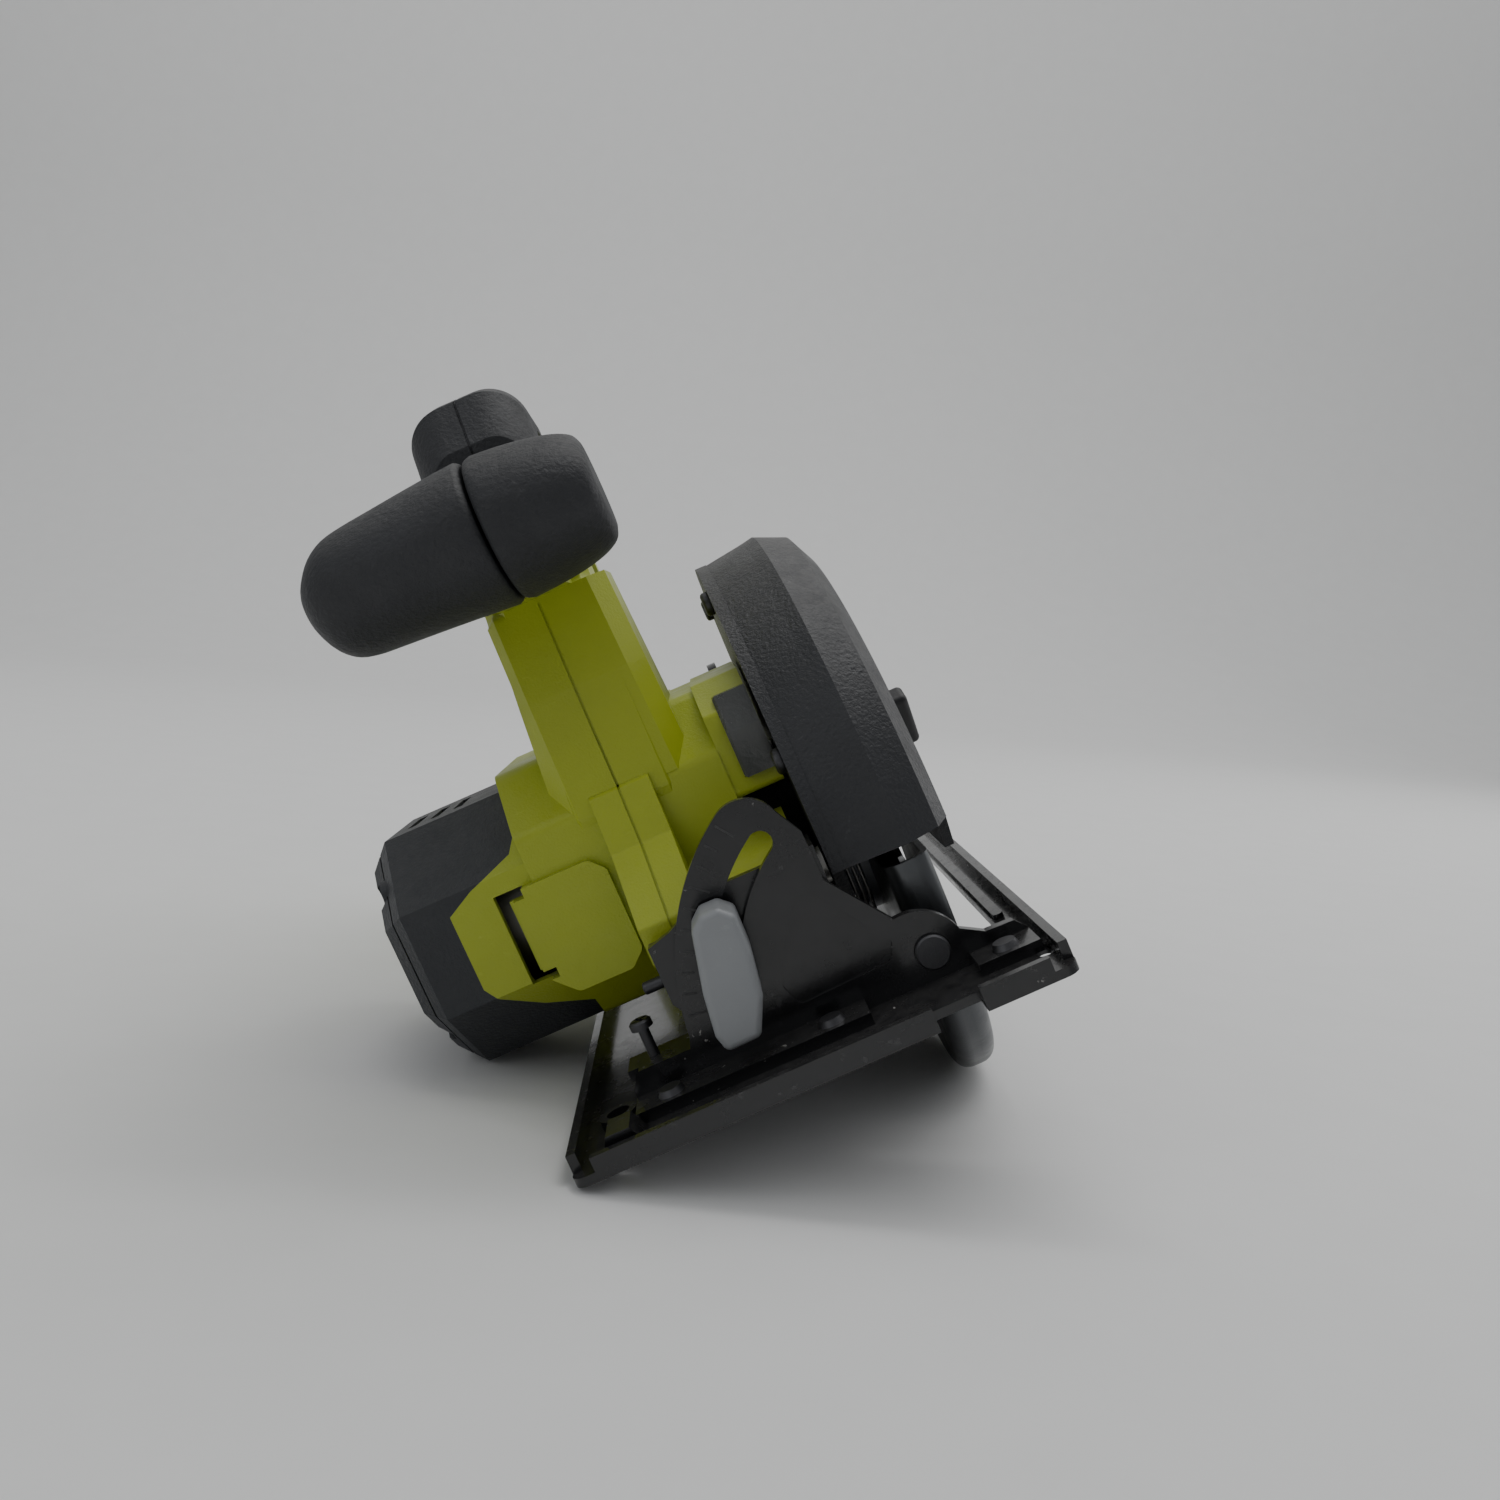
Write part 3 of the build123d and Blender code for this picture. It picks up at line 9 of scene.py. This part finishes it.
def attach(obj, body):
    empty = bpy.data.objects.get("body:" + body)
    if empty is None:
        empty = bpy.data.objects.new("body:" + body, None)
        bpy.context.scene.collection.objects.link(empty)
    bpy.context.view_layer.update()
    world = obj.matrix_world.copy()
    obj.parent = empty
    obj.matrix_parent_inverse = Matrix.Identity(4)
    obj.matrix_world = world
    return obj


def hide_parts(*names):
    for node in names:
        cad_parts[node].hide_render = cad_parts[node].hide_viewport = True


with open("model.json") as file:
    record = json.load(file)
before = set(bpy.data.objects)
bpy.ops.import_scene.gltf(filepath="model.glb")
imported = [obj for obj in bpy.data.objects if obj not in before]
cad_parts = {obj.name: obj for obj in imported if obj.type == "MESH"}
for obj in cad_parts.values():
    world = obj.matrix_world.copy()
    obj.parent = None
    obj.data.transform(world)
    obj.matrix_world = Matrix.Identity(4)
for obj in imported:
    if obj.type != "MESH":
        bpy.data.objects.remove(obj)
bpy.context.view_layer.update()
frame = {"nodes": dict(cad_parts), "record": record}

MM = 0.001
nodes, record = frame["nodes"], frame["record"]
collection = bpy.context.scene.collection

# ------------------------------------------------------------------ the saw's own frame
# X to the blade side, Y rearward, Z up from the sole, millimetres, origin at the base's front left corner.
JOINT = {joint["name"]: joint for joint in record["behaviour"]["joints"]}
tool_x = Vector(JOINT["cut_depth"]["axis"]).normalized()
tool_y = Vector((0, 1, 0))
tool_z = tool_x.cross(tool_y)
pivot = Vector(JOINT["cut_depth"]["pos_m"])
DEPTH_PIVOT = Vector((55, 40, 31))          # where that joint sits in the saw's frame
origin = pivot - (tool_x * DEPTH_PIVOT.x + tool_y * DEPTH_PIVOT.y + tool_z * DEPTH_PIVOT.z) * MM
TO_ROW = Matrix((
    (tool_x.x * MM, tool_y.x * MM, tool_z.x * MM, origin.x),
    (tool_x.y * MM, tool_y.y * MM, tool_z.y * MM, origin.y),
    (tool_x.z * MM, tool_y.z * MM, tool_z.z * MM, origin.z),
    (0, 0, 0, 1)))


# ------------------------------------------------------------------ materials
def new_material(name):
    material = bpy.data.materials.new(name)
    material.use_nodes = True
    tree = material.node_tree
    return material, tree, tree.nodes["Principled BSDF"]


def noise(tree, scale, detail=4.0, rough=0.55, stretch=None):
    """A noise texture in object space; scale is cells per metre."""
    coords = tree.nodes.new("ShaderNodeTexCoord")
    texture = tree.nodes.new("ShaderNodeTexNoise")
    texture.inputs["Scale"].default_value = scale
    texture.inputs["Detail"].default_value = detail
    texture.inputs["Roughness"].default_value = rough
    source = coords.outputs["Object"]
    if stretch:
        mapping = tree.nodes.new("ShaderNodeMapping")
        mapping.inputs["Scale"].default_value = stretch
        tree.links.new(source, mapping.inputs["Vector"])
        source = mapping.outputs["Vector"]
    tree.links.new(source, texture.inputs["Vector"])
    return texture.outputs["Fac"]


def ramp(tree, source, low, high, start=0.35, end=0.65):
    """Maps a 0..1 value between two values or colours."""
    node = tree.nodes.new("ShaderNodeValToRGB")
    node.color_ramp.elements[0].position = start
    node.color_ramp.elements[1].position = end
    node.color_ramp.elements[0].color = low if isinstance(low, tuple) else (low, low, low, 1)
    node.color_ramp.elements[1].color = high if isinstance(high, tuple) else (high, high, high, 1)
    tree.links.new(source, node.inputs["Fac"])
    return node.outputs["Color"]


def mix(tree, factor, first, second, kind="MIX"):
    node = tree.nodes.new("ShaderNodeMix")
    node.data_type = "RGBA"
    node.blend_type = kind
    for socket, value in ((node.inputs[0], factor), (node.inputs[6], first), (node.inputs[7], second)):
        if isinstance(value, (int, float, tuple)):
            socket.default_value = value
        else:
            tree.links.new(value, socket)
    return node.outputs[2]


def finish_material(name, colour, rough=0.5, metallic=0.0, grain=0.0, grain_scale=2500.0, swell=0.0,
                    mottle=0.06, scratch=0.0, dust=0.0, specular=0.5, coat=0.0, brushed=None, clear=0.0, chips=0.0):
    """A node material: mottled colour, varied gloss, grain bump, fine scratches and dust that settles on top."""
    material, tree, shader = new_material(name)
    base = (*colour, 1.0)
    dark = tuple(c * (1 - mottle) for c in colour) + (1.0,)
    light = tuple(min(1.0, c * (1 + mottle)) for c in colour) + (1.0,)
    colour_out = ramp(tree, noise(tree, 45.0, 5.0), dark, light, 0.3, 0.7)
    rough_out = ramp(tree, noise(tree, 120.0, 6.0, 0.65), max(rough - 0.07, 0.03), min(rough + 0.09, 1.0), 0.3, 0.7)
    if scratch:
        lines = ramp(tree, noise(tree, 260.0, 3.0, 0.5, (1.0, 9.0, 1.4)), 0.0, 1.0, 0.66, 0.72)
        patch = ramp(tree, noise(tree, 30.0, 3.0), 0.0, scratch, 0.48, 0.62)
        worn = mix(tree, 1.0, lines, patch, "MULTIPLY")
        pale = tuple(min(1.0, c * 1.5 + 0.07) for c in colour) + (1.0,)
        colour_out = mix(tree, worn, colour_out, pale)
    if dust:
        geometry = tree.nodes.new("ShaderNodeNewGeometry")
        split = tree.nodes.new("ShaderNodeSeparateXYZ")
        tree.links.new(geometry.outputs["Normal"], split.inputs[0])
        up = ramp(tree, split.outputs["Z"], 0.0, dust, 0.45, 1.0)
        spots = ramp(tree, noise(tree, 400.0, 6.0, 0.7), 0.25, 1.0, 0.35, 0.6)
        cover = mix(tree, 1.0, up, spots, "MULTIPLY")
        colour_out = mix(tree, cover, colour_out, (0.55, 0.53, 0.49, 1.0))
        rough_out = mix(tree, cover, rough_out, (0.85, 0.85, 0.85, 1.0))
    tree.links.new(colour_out, shader.inputs["Base Color"])
    tree.links.new(rough_out, shader.inputs["Roughness"])
    shader.inputs["Metallic"].default_value = metallic
    shader.inputs["Specular IOR Level"].default_value = specular
    shader.inputs["Coat Weight"].default_value = coat
    shader.inputs["Coat Roughness"].default_value = 0.12
    height = None
    if grain:
        bump = tree.nodes.new("ShaderNodeBump")
        bump.inputs["Strength"].default_value = grain
        bump.inputs["Distance"].default_value = 0.0004
        tree.links.new(noise(tree, grain_scale, 3.0, 0.6, brushed), bump.inputs["Height"])
        height = bump.outputs["Normal"]
    if swell:
        wave = tree.nodes.new("ShaderNodeBump")
        wave.inputs["Strength"].default_value = swell
        wave.inputs["Distance"].default_value = 0.002
        tree.links.new(noise(tree, 60.0, 2.0), wave.inputs["Height"])
        if height:
            tree.links.new(height, wave.inputs["Normal"])
        height = wave.outputs["Normal"]
    if height:
        tree.links.new(height, shader.inputs["Normal"])
    if chips:
        # small spots where the paint is knocked off, in patches
        spots = ramp(tree, noise(tree, 420.0, 4.0, 0.6), 0.0, 1.0, 0.67, 0.70)
        patch = ramp(tree, noise(tree, 38.0, 3.0), 0.0, chips, 0.54, 0.62)
        worn = mix(tree, 1.0, spots, patch, "MULTIPLY")
        colour_out = mix(tree, worn, colour_out, (0.42, 0.41, 0.39, 1.0))
        rough_out = mix(tree, worn, rough_out, (0.45, 0.45, 0.45, 1.0))
        tree.links.new(colour_out, shader.inputs["Base Color"])
        tree.links.new(rough_out, shader.inputs["Roughness"])
    if clear:
        shader.inputs["Transmission Weight"].default_value = clear
        shader.inputs["IOR"].default_value = 1.49
    return material


LOOK = {
    "housing_green": dict(colour=(0.40, 0.46, 0.022), rough=0.36, grain=0.30, grain_scale=1700, mottle=0.04,
                          scratch=0.25, dust=0.10),
    "grip_rubber": dict(colour=(0.024, 0.025, 0.028), rough=0.60, grain=1.0, grain_scale=900, mottle=0.16, dust=0.10),
    "charcoal_plastic": dict(colour=(0.030, 0.032, 0.036), rough=0.50, grain=0.8, grain_scale=1000, dust=0.08),
    "black_plastic": dict(colour=(0.016, 0.016, 0.018), rough=0.48, grain=0.25, grain_scale=2600, dust=0.08),
    "guard_black": dict(colour=(0.024, 0.025, 0.028), rough=0.44, grain=0.8, grain_scale=1100, mottle=0.10,
                        scratch=0.3, dust=0.12),
    "base_black": dict(colour=(0.008, 0.008, 0.009), rough=0.22, grain=0.05, grain_scale=900, swell=0.05,
                       scratch=0.35, dust=0.05, coat=0.35, chips=0.9),
    "zinc_steel": dict(colour=(0.52, 0.51, 0.48), rough=0.34, metallic=1.0, grain=0.12, grain_scale=1800,
                       scratch=0.3),
    "dark_steel": dict(colour=(0.09, 0.09, 0.095), rough=0.42, metallic=0.9, grain=0.15, grain_scale=2000),
    "blade_steel": dict(colour=(0.50, 0.50, 0.49), rough=0.30, metallic=1.0, grain=0.20, grain_scale=700,
                        brushed=(1.0, 12.0, 1.0), scratch=0.4),
    "lever_grey": dict(colour=(0.27, 0.28, 0.29), rough=0.42, grain=0.10, grain_scale=2400, scratch=0.2, dust=0.05),
    "lower_guard_grey": dict(colour=(0.11, 0.115, 0.12), rough=0.36, metallic=0.85, grain=0.10, grain_scale=1200,
                             scratch=0.5, dust=0.05),
    "gear_steel": dict(colour=(0.36, 0.35, 0.33), rough=0.30, metallic=1.0, grain=0.15, grain_scale=1600),
    "magnet": dict(colour=(0.08, 0.08, 0.085), rough=0.7, grain=0.4, grain_scale=1800),
    "laminations": dict(colour=(0.20, 0.20, 0.21), rough=0.5, metallic=0.8, grain=0.4, grain_scale=900,
                        brushed=(14.0, 1.0, 1.0)),
    "copper": dict(colour=(0.62, 0.29, 0.16), rough=0.32, metallic=1.0, grain=0.12, grain_scale=1500),
    "lens_clear": dict(colour=(0.15, 0.155, 0.15), rough=0.20, grain=0.3, grain_scale=700, clear=0.45),
    "lamp_white": dict(colour=(0.62, 0.62, 0.58), rough=0.5, grain=0.1),
}
LOOKS = {name: finish_material(name, **look) for name, look in LOOK.items()}
SLOT_OF = {entry["node"]: entry["material_slot"] for entry in record["subparts"]}

BEVEL_MM = {"base_plate": 0.35, "bevel_quadrant": 0.4, "upper_guard": 0.8, "left_housing": 0.8, "right_housing": 0.8,
            "motor_end_cap": 0.8, "bevel_lock_lever": 0.4, "gear_case": 0.5, "lower_guard": 0.25}
BLACKENED = ("bevel_stop_screw", "squareness_screw")      # these two screws are oxide black, not zinc
for name, node in nodes.items():
    for slot in node.material_slots:
        slot.material = LOOKS["dark_steel" if name in BLACKENED else SLOT_OF[name]]
    bevel = node.modifiers.new("soft edges", "BEVEL")
    bevel.width = BEVEL_MM.get(name, 0.25) * MM
    bevel.segments = 2
    bevel.limit_method = "ANGLE"
    bevel.angle_limit = radians(35)
    bevel.use_clamp_overlap = True
    bevel.harden_normals = False
    node.modifiers.new("even shading", "WEIGHTED_NORMAL").keep_sharp = True

# ------------------------------------------------------------------ pieces of its own
def piece(name, vertices, faces, node, body, smooth=True):
    """A mesh given in the saw's frame, standing for a CAD node and wearing its finish."""
    mesh = bpy.data.meshes.new(name)
    mesh.from_pydata([TO_ROW @ Vector(v) for v in vertices], [], faces)
    mesh.validate()
    if smooth:
        mesh.polygons.foreach_set("use_smooth", [True] * len(mesh.polygons))
    made = bpy.data.objects.new(name, mesh)
    mesh.materials.append(LOOKS[SLOT_OF[node]])
    collection.objects.link(made)
    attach(made, body)
    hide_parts(node)
    return made


def soften(made, width, segments=2, angle=35):
    bevel = made.modifiers.new("soft edges", "BEVEL")
    bevel.width = width * MM
    bevel.segments = segments
    bevel.limit_method = "ANGLE"
    bevel.angle_limit = radians(angle)
    made.modifiers.new("even shading", "WEIGHTED_NORMAL").keep_sharp = True


def skin(rings, close_start=True, close_end=True):
    """Vertices and faces of a tube through equally divided closed rings."""
    count = len(rings[0])
    vertices = [v for ring in rings for v in ring]
    faces = []
    for row in range(len(rings) - 1):
        for i in range(count):
            j = (i + 1) % count
            faces.append((row * count + i, row * count + j, (row + 1) * count + j, (row + 1) * count + i))
    if close_start:
        faces.append(tuple(reversed(range(count))))
    if close_end:
        faces.append(tuple((len(rings) - 1) * count + i for i in range(count)))
    return vertices, faces


GRIP_Y, GRIP_FRONT, GRIP_REAR = 32.0, 21.0, 25.5
GRIP_STATIONS = [  # x, lowest z, highest z, share of full depth
    (-5.7, 121.2, 124.8, 0.20), (-5.5, 119.0, 126.8, 0.36), (-4.8, 116.2, 129.2, 0.55), (-3.2, 113.2, 131.6, 0.71),
    (-0.8, 111.3, 134.2, 0.82), (2.6, 110.5, 136.1, 0.89), (7.0, 110.2, 137.0, 0.93), (14.0, 109.8, 137.8, 0.965),
    (22.0, 109.3, 138.7, 0.985), (29.0, 108.8, 139.4, 1.0), (34.2, 108.5, 139.8, 1.0)]
GRIP_STATIONS_RIGHT = [
    (34.8, 108.5, 139.8, 1.0), (42.0, 108.9, 139.3, 0.995), (48.0, 109.6, 138.5, 0.98), (52.6, 110.6, 137.5, 0.95),
    (55.6, 111.8, 136.4, 0.90), (57.4, 113.2, 135.2, 0.84), (58.3, 115.4, 133.4, 0.74)]
GRIP_POINTS = 72
GRIP_FRONT_POWER, GRIP_REAR_POWER, GRIP_HEIGHT_POWER = 1.9, 2.5, 2.15      # superellipse exponents
GROOVE_DEPTH, GROOVE_REACH = 0.7, 0.8


def spline(points, per_span):
    """Catmull-Rom through rows of numbers."""
    out = []
    for i in range(len(points) - 1):
        a, b, c, d = points[max(i - 1, 0)], points[i], points[i + 1], points[min(i + 2, len(points) - 1)]
        for step in range(per_span):
            t = step / per_span
            out.append([0.5 * (2 * q + (r - p) * t + (2 * p - 5 * q + 4 * r - s) * t * t
                               + (3 * q - p - 3 * r + s) * t ** 3) for p, q, r, s in zip(a, b, c, d)])
    out.append(list(points[-1]))
    return out


def front_grip(name, node, stations, seam_first):
    rings = []
    rows = spline(stations, 3)
    seam_at = stations[0][0] if seam_first else stations[-1][0]
    for x, low, high, depth in rows:
        pinch = GROOVE_DEPTH * max(0.0, 1 - abs(x - seam_at) / GROOVE_REACH)      # the parting line is a small groove
        middle, half = (low + high) / 2, (high - low) / 2 - pinch
        ring = []
        for k in range(GRIP_POINTS):
            turn = tau * k / GRIP_POINTS
            c, s = cos(turn), sin(turn)
            power = 2 / (GRIP_FRONT_POWER if c < 0 else GRIP_REAR_POWER)
            reach = (GRIP_FRONT if c < 0 else GRIP_REAR) * depth - pinch
            ring.append((x, GRIP_Y + (1 if c > 0 else -1) * reach * abs(c) ** power,
                         middle + (1 if s > 0 else -1) * half * abs(s) ** (2 / GRIP_HEIGHT_POWER)))
        rings.append(ring)
    vertices, faces = skin(rings)
    made = piece(name, vertices, faces, node, "saw_head")
    soften(made, 0.8, 3, 40)


front_grip("front_grip_left", "left_front_grip", GRIP_STATIONS, False)
front_grip("front_grip_right", "right_front_grip", GRIP_STATIONS_RIGHT, True)


SCREW_POINTS = 48


def screw_rings(centre, thread, head, x_shank, x_seat, x_top):
    """A pan head screw along X with a six-lobed recess; the head is on x_top's side of x_seat."""
    way = 1 if x_top > x_seat else -1
    height = abs(x_top - x_seat)
    profile = [(x_shank, thread * 0.8, 0, 0), (x_shank + way * 0.8, thread, 0, 0), (x_seat, thread, 0, 0),
               (x_seat, head - 0.15, 0, 0), (x_seat + way * 0.2, head, 0, 0),
               (x_top - way * height * 0.35, head, 0, 0), (x_top - way * height * 0.12, head * 0.9, 0, 0),
               (x_top, head * 0.70, 0, 0), (x_top, head * 0.60, 6, 0.10), (x_top - way * 0.15, head * 0.54, 6, 0.13),
               (x_top - way * height * 0.62, head * 0.52, 6, 0.13),
               (x_top - way * height * 0.68, head * 0.2, 6, 0.05)]
    rings = []
    for x, radius, lobes, depth in profile:
        ring = []
        for k in range(SCREW_POINTS):
            turn = tau * k / SCREW_POINTS
            r = radius * (1 - depth + depth * cos(lobes * turn)) if lobes else radius
            ring.append((x, centre[0] + r * cos(turn), centre[1] + r * sin(turn)))
        rings.append(ring if way > 0 else list(reversed(ring)))
    return rings


def screws(name, node, body, posts):
    vertices, faces = [], []
    for centre, thread, head, x_shank, x_seat, x_top in posts:
        v, f = skin(screw_rings(centre, thread, head, x_shank, x_seat, x_top))
        start = len(vertices)
        vertices += v
        faces += [tuple(start + i for i in face) for face in f]
    made = piece(name, vertices, faces, node, body)
    made.modifiers.new("even shading", "WEIGHTED_NORMAL").keep_sharp = True
    mark_sharp(made, 40)
    return made


def mark_sharp(made, angle):
    """Keeps creases sharper than the angle crisp on a smooth mesh."""
    grid = bmesh.new()
    grid.from_mesh(made.data)
    bmesh.ops.recalc_face_normals(grid, faces=grid.faces)
    for edge in grid.edges:
        if len(edge.link_faces) == 2 and edge.calc_face_angle() > radians(angle):
            edge.smooth = False
    grid.to_mesh(made.data)
    grid.free()


SEAM, HANDLE_RIGHT = 34.5, 47.4
TAPER, TAPER_START, TAPER_LENGTH, TAPER_ABOVE = 6.4, 95.0, 150.0, 70.0


def handle_side(y, z):
    """Where the blade side of the handle is, which narrows towards the rear."""
    return HANDLE_RIGHT - (TAPER * max(0, y - TAPER_START) / TAPER_LENGTH if z > TAPER_ABOVE else 0)


HANDLE_POSTS = [(70.0, 98.0), (76.0, 142.0), (162.0, 124.0), (200.0, 108.0), (150.0, 37.0)]
CAP_POSTS = [(64.5, 60.6), (104.5, 60.6), (66.5, 25.4), (104.8, 24.0)]
ARBOR, GUARD_SCREW_RADIUS = (106.0, 27.0), 70.0
GUARD_POSTS = [(ARBOR[0] + GUARD_SCREW_RADIUS * cos(radians(a)), ARBOR[1] + GUARD_SCREW_RADIUS * sin(radians(a)))
               for a in (22, 66, 110, 156)]
screws("handle_screws", "housing_screws", "saw_head",
       [(post, 1.5, 3.0, SEAM - 9.0, handle_side(*post) - 3.0, handle_side(*post) - 1.0) for post in HANDLE_POSTS])
screws("motor_cap_screws", "cap_screws", "saw_head", [(post, 1.6, 3.1, 20.0, -24.0, -26.4) for post in CAP_POSTS])
screws("guard_cover_screws", "guard_screws", "saw_head",
       [(post, 1.5, 3.0, 79.0, 70.5, 68.5) for post in GUARD_POSTS])

# degree marks pressed along the quadrant's edge
BEVEL_AXIS, QUADRANT_RADIUS, QUADRANT_FACE = (83.1, 8.0), 54.0, 24.0
SCALE_START, SCALE_END, SCALE_STEP, LONG_EVERY = 171.0, 50, 5, 15
LONG_MARK, SHORT_MARK, MARK_WIDTH, MARK_EDGE = 4.6, 3.0, 0.22, 1.0
tick_vertices, tick_faces = [], []
for degree in range(0, SCALE_END, SCALE_STEP):
    angle = radians(SCALE_START - degree)
    length = LONG_MARK if degree % LONG_EVERY == 0 else SHORT_MARK
    outward = Vector((cos(angle), 0, sin(angle)))
    along = Vector((-sin(angle), 0, cos(angle)))
    centre = Vector((BEVEL_AXIS[0], QUADRANT_FACE, BEVEL_AXIS[1]))
    middle = centre + outward * (QUADRANT_RADIUS - MARK_EDGE - length / 2)
    start = len(tick_vertices)
    for y, shrink in ((0.1, 1.0), (-0.05, 1.0), (-0.12, 0.8)):
        for a, b in ((-1, -1), (1, -1), (1, 1), (-1, 1)):
            tick_vertices.append(middle + Vector((0, y, 0)) + outward * (a * length / 2 * shrink)
                                 + along * (b * MARK_WIDTH * shrink))
    for row in range(2):
        for i in range(4):
            j = (i + 1) % 4
            low = start + row * 4
            tick_faces.append((low + i, low + j, low + 4 + j, low + 4 + i))
    tick_faces.append((start + 8, start + 9, start + 10, start + 11))
tick_mesh = bpy.data.meshes.new("degree_marks")
tick_mesh.from_pydata([TO_ROW @ v for v in tick_vertices], [], tick_faces)
degree_marks = bpy.data.objects.new("degree_marks", tick_mesh)
tick_mesh.materials.append(
    finish_material("worn_mark", (0.055, 0.055, 0.055), rough=0.5, mottle=0.3, scratch=0.4, grain=0.2))
collection.objects.link(degree_marks)
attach(degree_marks, "base")

# ------------------------------------------------------------------ floor, light and camera
paper = finish_material("paper", (0.80, 0.80, 0.79), rough=0.9, mottle=0.01, grain=0.04, grain_scale=300,
                        specular=0.2)
SWEEP_FRONT, SWEEP_REAR, SWEEP_RADIUS, SWEEP_TOP, SWEEP_HALF = -3.0, 1.1, 0.7, 3.5, 4.0
profile = [(SWEEP_FRONT, 0.0), (SWEEP_REAR, 0.0)]
profile += [(SWEEP_REAR + SWEEP_RADIUS * sin(radians(a)), SWEEP_RADIUS - SWEEP_RADIUS * cos(radians(a)))
            for a in range(6, 91, 6)]
profile += [(SWEEP_REAR + SWEEP_RADIUS, SWEEP_TOP)]
sweep_vertices = [(x, y, z - 0.0005) for y, z in profile for x in (-SWEEP_HALF, SWEEP_HALF)]
sweep_faces = [(2 * i, 2 * i + 1, 2 * i + 3, 2 * i + 2) for i in range(len(profile) - 1)]
sweep_mesh = bpy.data.meshes.new("backdrop")
sweep_mesh.from_pydata(sweep_vertices, [], sweep_faces)
sweep_mesh.polygons.foreach_set("use_smooth", [True] * len(sweep_mesh.polygons))
sweep_mesh.materials.append(paper)
backdrop = bpy.data.objects.new("backdrop", sweep_mesh)
collection.objects.link(backdrop)

world = bpy.data.worlds.new("studio")
world.use_nodes = True
world.node_tree.nodes["Background"].inputs["Color"].default_value = (0.95, 0.97, 1.0, 1)
world.node_tree.nodes["Background"].inputs["Strength"].default_value = 0.30
bpy.context.scene.world = world


def softbox(name, location, target, size, power, colour=(1, 1, 1)):
    light = bpy.data.lights.new(name, "AREA")
    light.shape = "RECTANGLE"
    light.size, light.size_y = size
    light.energy = power
    light.color = colour
    lamp = bpy.data.objects.new(name, light)
    lamp.location = location
    lamp.rotation_euler = (Vector(target) - Vector(location)).to_track_quat("-Z", "Y").to_euler()
    collection.objects.link(lamp)


softbox("overhead", (0.15, 0.1, 1.3), (0, 0, 0.1), (1.3, 1.3), 5.4)
softbox("window", (-1.1, -0.9, 0.8), (0, 0, 0.1), (0.9, 0.9), 2.6, (0.95, 0.98, 1.0))
softbox("rim", (1.0, 0.5, 0.6), (0, 0, 0.1), (0.7, 0.7), 2.2)
softbox("wall wash", (0.0, 0.3, 2.4), (0.0, 1.8, 0.9), (2.4, 0.6), 19)

camera_data = bpy.data.cameras.new("camera")
camera_data.sensor_width = 36
camera_data.lens = 32.77                    # millimetres, fitted to the base, its slot and the guards
camera = bpy.data.objects.new("camera", camera_data)
camera.location = (-0.00482, -0.37423, 0.11395)
camera.rotation_euler = (radians(84.219), radians(-5.266), radians(-2.597))
collection.objects.link(camera)
bpy.context.scene.camera = camera
